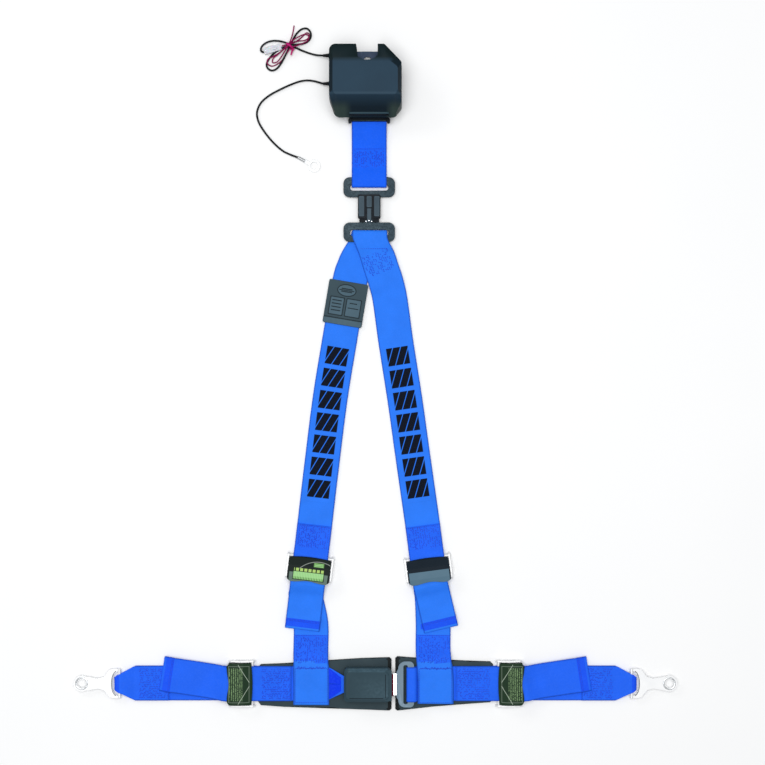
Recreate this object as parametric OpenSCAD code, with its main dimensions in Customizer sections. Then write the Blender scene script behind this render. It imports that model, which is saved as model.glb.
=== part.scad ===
/* [Webbing] */
// Width of every belt
webbing_w = 50; // [49:0.5:51]
// Thickness of one layer of belt
webbing_t = 1.6; // [1.4:0.1:1.6]

/* [Layout] */
// From the middle of the harness to the back edge of the retractor, and to the front edge of the pads
half_length = 474; // [472:1:476]
// Side distance of each end bracket's eye from the middle
eye_x = 422; // [421:1:426]
// Side distance of each lap adjuster's fixed bar from the middle
lap_bar_x = 177; // [175:1:179]
// Side position of the back strap's centre line
back_x = -9; // [-10:0.5:-8]

/* [Retractor] */
// Height of the retractor cover
cover_h = 60; // [60:1:66]
// Wall of the retractor cover
cover_wall = 2.5; // [2:0.1:2.5]
// Sheet of the retractor frame
sheet = 2.5; // [2.5:0.1:2.6]
// Radius of the retractor's bolt hole
bolt_hole_r = 6; // [5.6:0.1:6.2]

/* [Adjusters] */
// Width of an adjuster cover
adjuster_w = 61; // [60:0.5:62]
// Length of an adjuster behind its fixed bar
adjuster_l = 36; // [36:0.5:38]
// Radius of the fixed bar
fixed_bar_r = 2; // [1.8:0.1:2]
// Radius of the knurled locking bar
locking_bar_r = 2.9; // [2.7:0.1:2.9]

/* [Brackets] */
// Radius of the eye in an end bracket
eye_hole_r = 6.2; // [6:0.1:6.5]
// Outside radius of the bracket round the eye
eye_r = 11.5; // [11:0.1:12]

/* [Buckle] */
// Length of the buckle cover
buckle_l = 67; // [66:1:68]
// Width of the buckle cover
buckle_w = 48; // [47:0.5:49]
// Width of the tongue's blade
blade_w = 31; // [30:0.5:31.5]

/* [Leads] */
// Radius of the ground and feed leads
lead_r = 1.4; // [1.2:0.1:1.4]
// Radius of the spare lead
spare_lead_r = 0.9; // [0.7:0.1:0.9]

/* [Hidden] */

// Round surfaces
$fn = 64;
// A little more than the solid that is cut
over = 1;
// Clearance between moving pieces
gap = 0.3;

// Heights of the belts: on the floor, on a belt below it, and on a pad
floor_level = 1 + webbing_t / 2;
second_level = floor_level + webbing_t + 0.4;
pad_h = 4.6;
lap_level = pad_h + 0.7 + webbing_t / 2;
patch_level = lap_level + webbing_t + 0.1;

// Lap belt and adjusters
lap_y = 39 - half_length;
pad_half_w = 39;
loop_inner_r = fixed_bar_r + gap;
loop_mid_r = loop_inner_r + webbing_t / 2;
bar_z = floor_level + loop_mid_r;
locking_y = -14.5;
locking_z = 7.8;
locking_travel = 2;
wrap_inner_r = locking_bar_r + gap;
wrap_mid_r = wrap_inner_r + webbing_t / 2;
adjuster_half = adjuster_w / 2;
ear_t = 2;
cover_under = 13;
left_shoulder_bar = [-93, -254];
right_shoulder_bar = [74, -255];
left_shoulder_turn = -6.8;
right_shoulder_turn = 7.4;

// Straps: centre lines seen from above, from the yoke down to the adjusters
yoke_r = 42;
pivot = [back_x, 210];
sew_run = 44;
left_sew = left_shoulder_bar + sew_run * [sin(-left_shoulder_turn), cos(left_shoulder_turn)];
right_sew = right_shoulder_bar + sew_run * [sin(-right_shoulder_turn), cos(right_shoulder_turn)];
left_sew_end = left_shoulder_bar + 25 * [sin(-left_shoulder_turn), cos(left_shoulder_turn)];
right_sew_end = right_shoulder_bar + 25 * [sin(-right_shoulder_turn), cos(right_shoulder_turn)];
left_route = [[-11, 216], [-20, 189], [-30, 165], [-37.5, 140], [-65.6, -28], left_sew, left_sew_end];
right_route = [
    [-8, 216], [2, 182], [9, 160], [15, 142], [21, 116], [29, 58], [42.4, -28], [52.5, -100],
    right_sew, right_sew_end
];
left_levels = [[230, floor_level], [-280, floor_level]];
right_levels = [
    [230, 7.4], [198, 7.4], [180, second_level], [141, second_level], [128, floor_level],
    [-280, floor_level]
];
sleeve_centre = [-43.2, 111];
sleeve_turn = -9.5;

// Plates and connector
plate_w = 74;
plate_z = 3;
plate_t = 3;
upper_plate_y = [263.3, 292.3];
upper_slot_y = [273, 281.5];
lower_plate_y = [199.2, 227.2];
lower_slot_y = [207.6, 216.8];
slot_w = 55;
connector_y = [232.3, 266.9];
connector_w = 32.4;
connector_h = 10.6;

// Retractor
spool_y = 424;
spool_z = 31;
roll_r = 21.5;
payout_level = spool_z - roll_r - gap - webbing_t / 2;
frame_x = [back_x - 30, back_x + 30];
hole_x = -11.6;
hole_y = 459.6;
notch_half = 14.6;
notch_r = 20;
notch_y = 470.7;
pawl_at = [402, 45];
ratchet_x = frame_x[0] - 4.6;
grommet_z = 6;
feed_exit_y = 467;
ground_exit_y = 426.5;

// Leads: points along each centre line, chosen by hand
floor_lead_z = lead_r + 0.05;
ground_route = [
    [-71, 426.5, 6], [-76, 427, 5.4], [-82, 429, 3.2], [-89, 431, 1.8], [-98, 432, floor_lead_z],
    [-109, 430.5, floor_lead_z], [-123, 425.5, floor_lead_z], [-139, 418, floor_lead_z],
    [-154, 409.5, floor_lead_z], [-165, 399.5, floor_lead_z], [-170.5, 386.5, floor_lead_z],
    [-168.5, 373, floor_lead_z], [-160.5, 359, floor_lead_z], [-148, 343.5, floor_lead_z],
    [-134, 331, floor_lead_z], [-122, 325, 1.6], [-111.5, 321, 2.4]
];
feed_route = [
    [-71, 467, 6], [-77, 467.2, 5.2], [-84, 468, 3], [-91, 469.7, 1.8], [-98, 472, floor_lead_z],
    [-105, 474.4, floor_lead_z], [-112, 476.2, floor_lead_z], [-119, 478, floor_lead_z]
];
connector_route = [
    [-129, 478, 3], [-133.5, 484.4, 3], [-140, 487.6, 3], [-149, 486.4, 3], [-158, 485, 3],
    [-164, 481.8, 3], [-166.6, 476.8, 3], [-164.6, 472.6, 3], [-160.2, 472, 3.4]
];
spare_route = [
    [-113, 484, 1.2], [-118, 491, 1.2], [-119.6, 498, 1], [-118.6, 504.5, 1], [-117, 511, 1]
];
hank_ends = [[-106.5, 494.5], [-145, 457.5]];
hank_r = 12.4;
hank_waist = 8.6;
hank_h = 6.6;
terminal_turn = -27;
inline_at = [-147.6, 476.4];
inline_turn = 15;

// Directions and outlines
function unit(v) = v / norm(v);
function turned(v) = [-v[1], v[0]];
function step_dir(p, i) = unit(p[i + 1] - p[i]);
function heading(p, i) =
    i == 0 ? step_dir(p, 0)
    : i == len(p) - 1 ? step_dir(p, i - 1)
    : unit(step_dir(p, i - 1) + step_dir(p, i));
function corner_stretch(p, i) = i == 0 ? 1 : 1 / (heading(p, i) * step_dir(p, i - 1));
function edge_point(p, i, half) = p[i] + half * corner_stretch(p, i) * turned(heading(p, i));
// Outline of a ribbon of one width along a path
function ribbon(p, half) = concat(
    [for (i = [0 : len(p) - 1]) edge_point(p, i, half)],
    [for (i = [len(p) - 1 : -1 : 0]) edge_point(p, i, -half)]
);
function arc(centre, r, from, to, steps = 8) = [
    for (i = [0 : steps]) let (a = from + (to - from) * i / steps) centre + r * [cos(a), sin(a)]
];
// Smooth curve through points, with some steps between each two
function between(p, i, t) =
    let (a = p[max(i - 1, 0)], b = p[i], c = p[i + 1], d = p[min(i + 2, len(p) - 1)])
    let (second = 2 * a - 5 * b + 4 * c - d, third = 3 * b - a - 3 * c + d)
    0.5 * (2 * b + (c - a) * t + second * t * t + third * t * t * t);
function smooth(p, steps) = concat(
    [for (i = [0 : len(p) - 2]) for (j = [0 : steps - 1]) between(p, i, j / steps)],
    [p[len(p) - 1]]
);

// Extrudes a (y, z) outline across the belt, along x
module across(width) {
    rotate([90, 0, 90]) linear_extrude(width, center = true) children();
}

// Extrudes an (x, z) outline along y
module along_y(width) {
    rotate([90, 0, 0]) linear_extrude(width, center = true) children();
}

// Plate with round corners, from z = 0
module round_plate(size, r, t) {
    half = [size[0] / 2 - r, size[1] / 2 - r];
    union() {
        translate([-size[0] / 2, -half[1], 0]) cube([size[0], 2 * half[1], t]);
        translate([-half[0], -size[1] / 2, 0]) cube([2 * half[0], size[1], t]);
        for (x = [-1, 1]) for (y = [-1, 1])
            translate([x * half[0], y * half[1], 0]) cylinder(h = t, r = r);
    }
}

// Tube of eight sides along points
module tube(points, r) {
    sides = 8;
    rings = len(points);
    skin = [
        for (i = [0 : rings - 1]) for (k = [0 : sides - 1])
            let (d = heading(points, i), s = unit(cross(d, [0, 0, 1])), u = cross(s, d),
                a = 360 * k / sides)
            points[i] + r * (cos(a) * s + sin(a) * u)
    ];
    walls = [
        for (i = [0 : rings - 2]) for (k = [0 : sides - 1])
            let (a = i * sides, b = (i + 1) * sides, n = (k + 1) % sides)
            [a + k, b + k, b + n, a + n]
    ];
    first_cap = [for (k = [0 : sides - 1]) k];
    last_cap = [for (k = [sides - 1 : -1 : 0]) (rings - 1) * sides + k];
    polyhedron(skin, concat([first_cap], walls, [last_cap]));
}

// Belt lying along a route, with its heights given along y
module belt(route, levels) {
    intersection() {
        linear_extrude(40) polygon(ribbon(route, webbing_w / 2));
        across(600) polygon(ribbon(levels, webbing_t / 2));
    }
}

// Everything inside, or outside, the circle about which the two halves swing
module yoke_circle(r) {
    translate([pivot[0], pivot[1], -over]) cylinder(h = 40, r = r);
}

// ---------------------------------------------------------------- retractor

// Outline of the cover from above, set in by a wall
function cover_outline(inset) = concat(
    [[-54.6 + inset, 374.5 + inset], [-64.8 + inset, 406 + inset / 2]],
    arc([-54.8, half_length - 10], 10 - inset, 180, 90),
    [
        [12 - inset / 2, half_length - inset], [36 - inset, 448], [37.2 - inset, 445],
        [37.2 - inset, 392], [28 - inset, 374.5 + inset]
    ]
);
// Outline of the cover from the side, set in by a wall, as (y, z)
function cover_side(inset) = [
    [374.5 + inset, -over * sign(inset)], [374.5 + inset, 30 - inset], [383.5 + inset, 34 - inset],
    [401.5 + inset / 2, cover_h - inset], [454.5 - inset / 2, cover_h - inset],
    [half_length - inset, cover_h - 7 - inset], [half_length - inset, -over * sign(inset)]
];

module cover_block(inset) {
    intersection() {
        translate([0, 0, -over]) linear_extrude(cover_h + 2 * over) polygon(cover_outline(inset));
        translate([back_x, 0, 0]) across(200) polygon(cover_side(inset));
    }
}

// Space for the bolt head, open towards the back edge
module bolt_notch(grow) {
    translate([hole_x, notch_y, -over]) intersection() {
        cylinder(h = cover_h + 2 * over, r = notch_r + grow);
        translate([-notch_half - grow, -40, 0]) cube([2 * (notch_half + grow), 60, cover_h + 2 * over]);
    }
    translate([hole_x - notch_half - grow, 457, -over])
        cube([2 * (notch_half + grow), 40, cover_h + 2 * over]);
}

module retractor_cover() {
    color("darkslategray") difference() {
        cover_block(0);
        difference() {
            cover_block(cover_wall);
            bolt_notch(cover_wall);
        }
        bolt_notch(0);
        // Room for the frame's tab under the notch
        translate([hole_x - notch_half, 430, -over]) cube([2 * notch_half, 60, sheet + gap + over]);
        // Mouth for the belt guide
        translate([back_x - 30.2, 360, 5]) cube([60.4, 22, 8.4]);
        for (y = [feed_exit_y, ground_exit_y])
            translate([-80, y, grommet_z]) rotate([0, 90, 0]) cylinder(h = 30, r = 3.4);
    }
}

module retractor_frame() {
    wall_side = [[392, 0], [392, 38], [401, 52], [450, 52], [450, 0]];
    color("slategray") difference() {
        union() {
            translate([frame_x[0], 384, 0]) cube([frame_x[1] - frame_x[0], 68, sheet]);
            translate([hole_x - 13.7, 440, 0]) cube([27.4, 26.5, sheet]);
            translate([hole_x - 6.7, 450, 0]) cube([13.4, 23.5, sheet]);
            for (side = [-1, 1]) translate([hole_x + side * 6.7, 466.5, 0]) cylinder(h = sheet, r = 7);
            for (x = [frame_x[0], frame_x[1] - sheet])
                translate([x + sheet / 2, 0, 0]) across(sheet) polygon(wall_side);
            // Pin on which the lock pawl turns
            translate([frame_x[0] - 5.6, pawl_at[0], pawl_at[1]]) rotate([0, 90, 0])
                cylinder(h = 6.6, r = 1.8);
        }
        translate([hole_x, hole_y, -over]) cylinder(h = sheet + 2 * over, r = bolt_hole_r);
        translate([frame_x[0] - over, spool_y, spool_z]) rotate([0, 90, 0])
            cylinder(h = frame_x[1] - frame_x[0] + 2 * over, r = 5 + gap);
        // Relief in each side wall, above and behind the shaft
        translate([frame_x[0] - over, 436, 58]) rotate([0, 90, 0])
            cylinder(h = frame_x[1] - frame_x[0] + 2 * over, r = 14);
    }
}

module belt_guide() {
    color("black") difference() {
        union() {
            translate([back_x - 28.5, 371.4, 5.2]) cube([57, 9.4, 8]);
            for (side = [-1, 1]) translate([back_x + side * 28, 374, 5.2]) {
                cylinder(h = 8, r = 2);
                translate([-2, -3, 0]) cube([4, 3, 8]);
                translate([0, -3, 0]) cylinder(h = 8, r = 2);
            }
        }
        translate([back_x - 25.8, 360, payout_level - webbing_t / 2 - gap])
            cube([51.6, 30, webbing_t + 2 * gap]);
        // Funnelled mouth under the lip
        translate([back_x, 369.4, payout_level]) rotate([0, 90, 0])
            cylinder(h = 51.6, r = 3.4, center = true);
    }
}

module spring_housing() {
    depth = 12.4;
    color("gray") translate([frame_x[1] + 0.4, spool_y, spool_z]) rotate([0, 90, 0]) difference() {
        cylinder(h = depth, r = 21.4);
        translate([0, 0, 1.2]) cylinder(h = depth - 2.4, r = 19.8);
        translate([0, 0, -over]) cylinder(h = 4, r = 5 + gap);
    }
}

// Spiral strip of the rewind spring, as an outline round the shaft
module clock_spring() {
    turns = 4;
    steps = 16;
    pitch = 2.6;
    inner = 7.6;
    strip = 0.5;
    function spiral(out) = [
        for (i = [0 : turns * steps])
            let (a = 360 * i / steps, r = inner + out + pitch * i / steps)
            r * [cos(a), sin(a)]
    ];
    outer_edge = spiral(strip);
    last = turns * steps;
    color("silver") translate([frame_x[1] + 2.6, spool_y, spool_z]) rotate([0, 90, 0])
        linear_extrude(8) polygon(concat(spiral(0), [for (i = [last : -1 : 0]) outer_edge[i]]));
}

module sensor_housing() {
    color("dimgray") translate([-59.8, 402, 4]) difference() {
        cube([14.2, 20.8, 16]);
        translate([7.1, 10.4, 3]) cylinder(h = 18, r = 6.2);
    }
}

module sensor_ball() {
    color("silver") translate([-52.7, 412.4, 11.9]) sphere(r = 4.6);
}

module lock_solenoid() {
    color("orangered") union() {
        translate([-53.4, 434, 42]) rotate([-90, 0, 0]) cylinder(h = 18, r = 7.4);
        translate([-53.4, 422, 42]) rotate([-90, 0, 0]) cylinder(h = 13, r = 1.8);
        translate([-61.6, 433, 32]) cube([15.2, 1.6, 14]);
        translate([-61.6, 451.6, 32]) cube([15.2, 1.6, 14]);
    }
}

module spool() {
    tooth_count = 16;
    tooth_outer = 15;
    tooth_inner = 12.6;
    flange_t = 1.5;
    shaft_end = frame_x[1] + 9;
    color("lightgray") translate([0, spool_y, spool_z]) rotate([0, 90, 0]) union() {
        translate([0, 0, ratchet_x]) cylinder(h = shaft_end - ratchet_x, r = 5);
        translate([0, 0, back_x - 25.3]) cylinder(h = 50.6, r = 9);
        for (x = [back_x - 25.3 - flange_t, back_x + 25.3]) translate([0, 0, x])
            cylinder(h = flange_t, r = 24);
        translate([0, 0, ratchet_x]) linear_extrude(3) polygon([
            for (i = [0 : tooth_count - 1]) for (tip = [0, 1])
                let (a = 360 * (i + 0.15 * tip) / tooth_count, r = tip == 1 ? tooth_inner : tooth_outer)
                r * [cos(a), sin(a)]
        ]);
    }
}

module webbing_roll() {
    color("royalblue") translate([back_x, spool_y, spool_z]) rotate([0, 90, 0]) difference() {
        cylinder(h = webbing_w, r = roll_r, center = true);
        cylinder(h = webbing_w + 2 * over, r = 9, center = true);
    }
}

module lock_pawl() {
    tip = [415.8, 47.4];
    color("silver") translate([ratchet_x + 1.5, 0, 0]) across(3) difference() {
        union() {
            translate(pawl_at) circle(r = 3.6);
            polygon([pawl_at + [0, 3.2], pawl_at + [0, -2.6], tip + [-1, -1.6], tip + [0, -1],
                tip + [0, 1.8]]);
        }
        translate(pawl_at) circle(r = 2.1);
    }
}

module lead_grommets() {
    color("black") for (y = [feed_exit_y, ground_exit_y])
        translate([-71, y, grommet_z]) rotate([0, 90, 0]) union() {
            cylinder(h = 5.6, r1 = 2.1, r2 = 3.1);
            translate([0, 0, 4]) cylinder(h = 7, r = 3.2);
            translate([0, 0, 4]) cylinder(h = 1.6, r = 4.6);
        }
}

// ---------------------------------------------------------------- leads

module ground_lead() {
    color("black") tube(smooth(ground_route, 2), lead_r);
}

module ring_terminal() {
    ring_r = 8.6;
    ring_hole_r = 5.8;
    end = ground_route[len(ground_route) - 1];
    color("silver") translate([end[0], end[1], 0]) rotate([0, 0, terminal_turn]) union() {
        translate([0, 0, 2.4]) rotate([0, 90, 0]) cylinder(h = 11, r = 2.1);
        difference() {
            union() {
                translate([10, -2.6, 0.4]) cube([9, 5.2, 1.2]);
                translate([26, 0, 0.4]) cylinder(h = 1.2, r = ring_r);
            }
            translate([26, 0, -over]) cylinder(h = 4, r = ring_hole_r);
        }
    }
}

module feed_lead() {
    color("black") {
        tube(smooth(feed_route, 2), lead_r);
        tube(smooth(connector_route, 2), lead_r);
    }
}

module spare_lead() {
    color("red") tube(smooth(spare_route, 2), spare_lead_r);
}

module lead_hank() {
    span = hank_ends[1] - hank_ends[0];
    color("black") translate([0, 0, 0.1]) linear_extrude(hank_h) union() {
        for (end = hank_ends) translate(end) circle(r = hank_r);
        translate(hank_ends[0]) rotate(atan2(span[1], span[0]))
            translate([0, -hank_waist / 2]) square([norm(span), hank_waist]);
    }
}

module inline_connector() {
    color("whitesmoke") translate([inline_at[0], inline_at[1], 0.1]) rotate([0, 0,
        inline_turn]) difference() {
        union() {
            translate([-12.6, -4.7, 0]) cube([15, 9.4, 6.6]);
            translate([2.2, -4, 0.6]) cube([10.2, 8, 5.4]);
            translate([-3, -1.4, 6]) cube([9, 2.8, 1.4]);
        }
        translate([-10.8, -3.2, 6]) cube([5, 6.4, 2]);
    }
}

// ---------------------------------------------------------------- back strap and connector

module retractor_strap() {
    fold_y = upper_slot_y[1] - 1.2;
    sheet_levels = [
        [fold_y, 7.4], [294, 7.4], [306, floor_level + webbing_t], [340, floor_level + webbing_t],
        [366, payout_level], [spool_y, payout_level]
    ];
    color("royalblue") translate([back_x, 0, 0]) across(webbing_w) union() {
        polygon(ribbon(sheet_levels, webbing_t / 2));
        translate([fold_y, 1]) square([334 - fold_y, webbing_t]);
        translate([fold_y - webbing_t / 2, 1]) square([webbing_t, 7.4 + webbing_t / 2 - 1]);
    }
}

// Slotted plate between two y values, with a slot across it
module slotted_plate(plate_y, slot_y) {
    difference() {
        translate([back_x, (plate_y[0] + plate_y[1]) / 2, plate_z])
            round_plate([plate_w, plate_y[1] - plate_y[0]], 9, plate_t);
        translate([back_x, (slot_y[0] + slot_y[1]) / 2, plate_z - over])
            round_plate([slot_w, slot_y[1] - slot_y[0]], 3.9, plate_t + 2 * over);
    }
}

module upper_plate() {
    color("dimgray") difference() {
        union() {
            slotted_plate(upper_plate_y, upper_slot_y);
            translate([back_x - 8, 240, plate_z]) cube([16, 26, plate_t]);
            translate([back_x, 240, plate_z]) cylinder(h = plate_t, r = 8);
        }
        // Window that the latch drops into
        translate([back_x - 4, 239, plate_z - over]) cube([8, 6, plate_t + 2 * over]);
    }
}

module lower_plate() {
    neck_w = 28.4;
    color("dimgray") difference() {
        union() {
            slotted_plate(lower_plate_y, lower_slot_y);
            translate([back_x - neck_w / 2, 222, plate_z]) cube([neck_w, 9.2, plate_t]);
        }
        for (side = [-1, 1]) translate([back_x + side * 9, 228.6, plate_z - over])
            cylinder(h = plate_t + 2 * over, r = 1.6);
    }
}

// Turns a cylinder to lie along x, about a point
module along_x_at(point) {
    translate(point) rotate([0, 90, 0]) children();
}

module connector_body() {
    color("black") difference() {
        union() {
            translate([back_x, (connector_y[0] + connector_y[1]) / 2, 0.4])
                round_plate([connector_w, connector_y[1] - connector_y[0]], 3, connector_h - 0.4);
            translate([back_x - 14, 227.4, 6.1]) cube([28, 8, 2.4]);
            translate([back_x - 14, 227.4, 0.6]) cube([28, 8, 2.3]);
        }
        // Mouth for the upper plate's edge, and channel for its tail
        translate([back_x - 20, 262.9, plate_z - 0.4]) cube([40, 8, plate_t + 0.8]);
        translate([back_x - 8.4, 231.6, plate_z - 0.4]) cube([16.8, 40, plate_t + 0.8]);
        // Two finger grooves along the top
        for (side = [-1, 1]) translate([back_x + side * 5.2, 250, connector_h])
            cube([1.6, 40, 2.4], center = true);
        // Slot in which the latch lies, and the grooves of its pin
        translate([back_x - 3.4, 226, 5]) cube([6.8, 22, 8]);
        along_x_at([back_x, 229.5, 8.9]) cylinder(h = 10.4, r = 1, center = true);
    }
}

module connector_latch() {
    color("silver") union() {
        translate([back_x - 2.9, 229.5, 8.2]) cube([5.8, 17.5, 1.4]);
        along_x_at([back_x, 229.5, 8.9]) cylinder(h = 9.8, r = 0.8, center = true);
        translate([back_x - 2.9, 241.6, 6.4]) cube([5.8, 3, 2]);
        for (side = [-1, 0, 1]) translate([back_x + side * 1.9, 228.6, 7]) cylinder(h = 2.6, r = 0.9);
    }
}

module yoke_webbing() {
    fold_y = lower_slot_y[0] + 1.2;
    color("royalblue") union() {
        intersection() {
            union() {
                belt(left_route, left_levels);
                belt(right_route, right_levels);
            }
            yoke_circle(yoke_r);
            translate([-100, 100, 0]) cube([200, fold_y - 100, 40]);
        }
        translate([back_x - webbing_w / 2, fold_y - webbing_t / 2, 1])
            cube([webbing_w, webbing_t, 7.4 + webbing_t / 2 - 1]);
    }
}

// ---------------------------------------------------------------- shoulder straps

// Sewn loop round a fixed bar at the origin, with its belt leaving along +y at the given height
module sewn_loop(level, run) {
    upper = [[0, bar_z + loop_mid_r], [15, level + webbing_t], [run, level + webbing_t]];
    lower = [[0, bar_z - loop_mid_r], [15, level], [run, level]];
    across(webbing_w - 0.1) difference() {
        union() {
            translate([0, bar_z]) circle(r = loop_mid_r + webbing_t / 2);
            polygon(ribbon(upper, webbing_t / 2 + 0.01));
            polygon(ribbon(lower, webbing_t / 2));
        }
        translate([0, bar_z]) circle(r = loop_inner_r);
    }
}

module shoulder_strap(route, levels, bar, turn) {
    difference() {
        union() {
            belt(route, levels);
            translate([bar[0], bar[1], 0]) rotate([0, 0, turn]) sewn_loop(floor_level, sew_run);
        }
        yoke_circle(yoke_r + gap);
    }
}

module left_shoulder_strap() {
    color("royalblue") shoulder_strap(left_route, left_levels, left_shoulder_bar, left_shoulder_turn);
}

module right_shoulder_strap() {
    color("royalblue") shoulder_strap(right_route, right_levels, right_shoulder_bar, right_shoulder_turn);
}

module label_sleeve() {
    size = [56.6, 63];
    slot_z = [floor_level - webbing_t / 2 - gap, floor_level + webbing_t / 2 + gap];
    color("dimgray") translate([sleeve_centre[0], sleeve_centre[1], 0]) rotate([0, 0,
        sleeve_turn]) difference() {
        union() {
            round_plate(size, 2.5, 4.4);
            translate([0, 0, 4.2]) round_plate([size[0] - 8, size[1] - 8], 2, 0.7);
        }
        translate([0.9 - 25.7, -size[1], slot_z[0]]) cube([51.4, 2 * size[1], slot_z[1] - slot_z[0]]);
    }
}

// ---------------------------------------------------------------- adjusters

// Places an adjuster: its fixed bar on the origin, its fixed belt along +y
module at_bar(bar, turn) {
    translate([bar[0], bar[1], 0]) rotate([0, 0, turn]) children();
}

module adjuster_frame() {
    ear_x = adjuster_half + 0.4;
    ear_back = -33;
    ear_top = 11.4;
    color("gainsboro") union() {
        for (side = [-1, 1]) translate([side * (ear_x + ear_t / 2), 0, 0]) across(ear_t) difference() {
            union() {
                translate([0, bar_z]) circle(r = 4.4);
                translate([ear_back + 3, 0.5]) square([-ear_back - 3, bar_z + 4.4 - 0.5]);
                translate([-24, 0.5]) square([20, ear_top - 0.5]);
                translate([ear_back + 3, 3.5]) circle(r = 3);
                translate([ear_back + 3, bar_z + 1.4]) circle(r = 3);
                translate([ear_back, 3.5]) square([4, bar_z - 2.1]);
            }
            for (y = [0, -locking_travel]) translate([locking_y + y, locking_z])
                circle(r = locking_bar_r + gap);
            translate([locking_y - locking_travel, locking_z - locking_bar_r - gap])
                square([locking_travel, 2 * (locking_bar_r + gap)]);
        }
        translate([0, 0, bar_z]) rotate([0, 90, 0])
            cylinder(h = 2 * (ear_x + ear_t), r = fixed_bar_r, center = true);
        translate([-ear_x - 0.2, -adjuster_l + 1, 0.5]) cube([2 * ear_x + 0.4, 7, 2]);
    }
}

module locking_bar() {
    half = adjuster_half + 0.4 + ear_t;
    color("silver") translate([0, locking_y, locking_z]) rotate([0, 90, 0]) union() {
        cylinder(h = 2 * half, r = locking_bar_r - 0.4, center = true);
        cylinder(h = 2 * adjuster_half - 8, r = locking_bar_r, center = true);
    }
}

module adjuster_cover() {
    back = -adjuster_l;
    roof = [
        [back, cover_under], [back, cover_under + 1.6], [back + 8, 16.4], [-12, 16.4], [-1, 12.8],
        [0.4, 11.6], [0.4, 10.6], [-12, cover_under]
    ];
    cheek = [
        [back + 2, cover_under + 0.2], [-12, cover_under + 0.2], [-2, 10.8], [-2, 6], [back + 6, 6],
        [back + 2, 8]
    ];
    color("black") difference() {
        union() {
            across(adjuster_w) polygon(roof);
            for (side = [-1, 1]) translate([side * (adjuster_half - 1.1), 0, 0]) across(2.2)
                polygon(cheek);
        }
        // Slots over the ends of the locking bar
        across(adjuster_w + 4) union() {
            for (y = [0, -locking_travel]) translate([locking_y + y, locking_z])
                circle(r = locking_bar_r + gap);
            translate([locking_y - locking_travel, locking_z - locking_bar_r - gap - 4])
                square([locking_travel, 2 * (locking_bar_r + gap) + 4]);
            translate([locking_y - locking_travel - locking_bar_r, 5]) square([8, 3]);
        }
        // Hollow behind edge, where the tail comes out
        translate([0, back - 20, 10]) cylinder(h = 10, r = 22);
    }
}

module bar_webbing() {
    back = -adjuster_l;
    low = locking_z - wrap_mid_r;
    high = locking_z + wrap_mid_r;
    color("royalblue") across(webbing_w) union() {
        intersection() {
            translate([locking_y, locking_z]) difference() {
                circle(r = wrap_mid_r + webbing_t / 2);
                circle(r = wrap_inner_r);
            }
            translate([locking_y, 0]) square([20, 30]);
        }
        for (z = [low, high]) translate([back, z - webbing_t / 2])
            square([locking_y - back + 0.01, webbing_t]);
    }
}

// Loose tail of a belt behind its adjuster, lying at the given height and turned a little
module loose_tail(length, level, tail_turn) {
    high = locking_z + wrap_mid_r;
    first = -1.2 - webbing_w / 2 * abs(sin(tail_turn));
    line = [[first, high], [-14, level + 3], [-24, level], [-length, level]];
    translate([0, -adjuster_l - 0.6, 0]) rotate([0, 0, tail_turn]) across(webbing_w)
        polygon(ribbon(line, webbing_t / 2));
}

// Short piece of adjusted belt behind its adjuster, coming down to a height
module belt_entry(level, run) {
    low = locking_z - wrap_mid_r;
    back = -adjuster_l;
    across(webbing_w - 0.4)
        polygon(ribbon([[back - 0.6, low], [back - 9, level], [back - run, level]], webbing_t / 2 - 0.1));
}

module lower_strap(bar, turn, route, tail_turn, patch_z) {
    heights = [
        [-270, floor_level], [-386, floor_level], [-400, patch_z - 1.5], [-410, patch_z], [-480, patch_z]
    ];
    color("royalblue") {
        union() {
            at_bar(bar, turn) belt_entry(floor_level, 14);
            belt(route, heights);
        }
        at_bar(bar, turn) loose_tail(68, second_level, tail_turn);
    }
}

// Point behind an adjuster's fixed bar
function behind(bar, turn, distance) = bar + distance * [sin(turn), -cos(turn)];

module left_lower_strap() {
    start = behind(left_shoulder_bar, left_shoulder_turn, adjuster_l + 10);
    next = behind(left_shoulder_bar, left_shoulder_turn, adjuster_l + 16);
    route = [start, next, [-93, -350], [-92.2, lap_y - 27]];
    lower_strap(left_shoulder_bar, left_shoulder_turn, route, 0, patch_level);
}

module right_lower_strap() {
    start = behind(right_shoulder_bar, right_shoulder_turn, adjuster_l + 10);
    next = behind(right_shoulder_bar, right_shoulder_turn, adjuster_l + 16);
    route = [start, next, [83, -350], [86.2, lap_y - 27]];
    // This patch lies on the end of the belt that is folded back from the tongue
    lower_strap(right_shoulder_bar, right_shoulder_turn, route, 6, patch_level + webbing_t + 0.1);
}

// ---------------------------------------------------------------- lap belt

// Places a lap adjuster: side is -1 on the left and 1 on the right
module at_lap_bar(side) {
    translate([side * lap_bar_x, lap_y, 0]) rotate([0, 0, side * 90]) children();
}

// End brackets
bracket_t = 2.6;
bracket_bar_x = 368;
bracket_loop_r = 2.9;
bracket_z = floor_level + bracket_loop_r + webbing_t / 2;
bracket_loop_w = 33;

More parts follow.
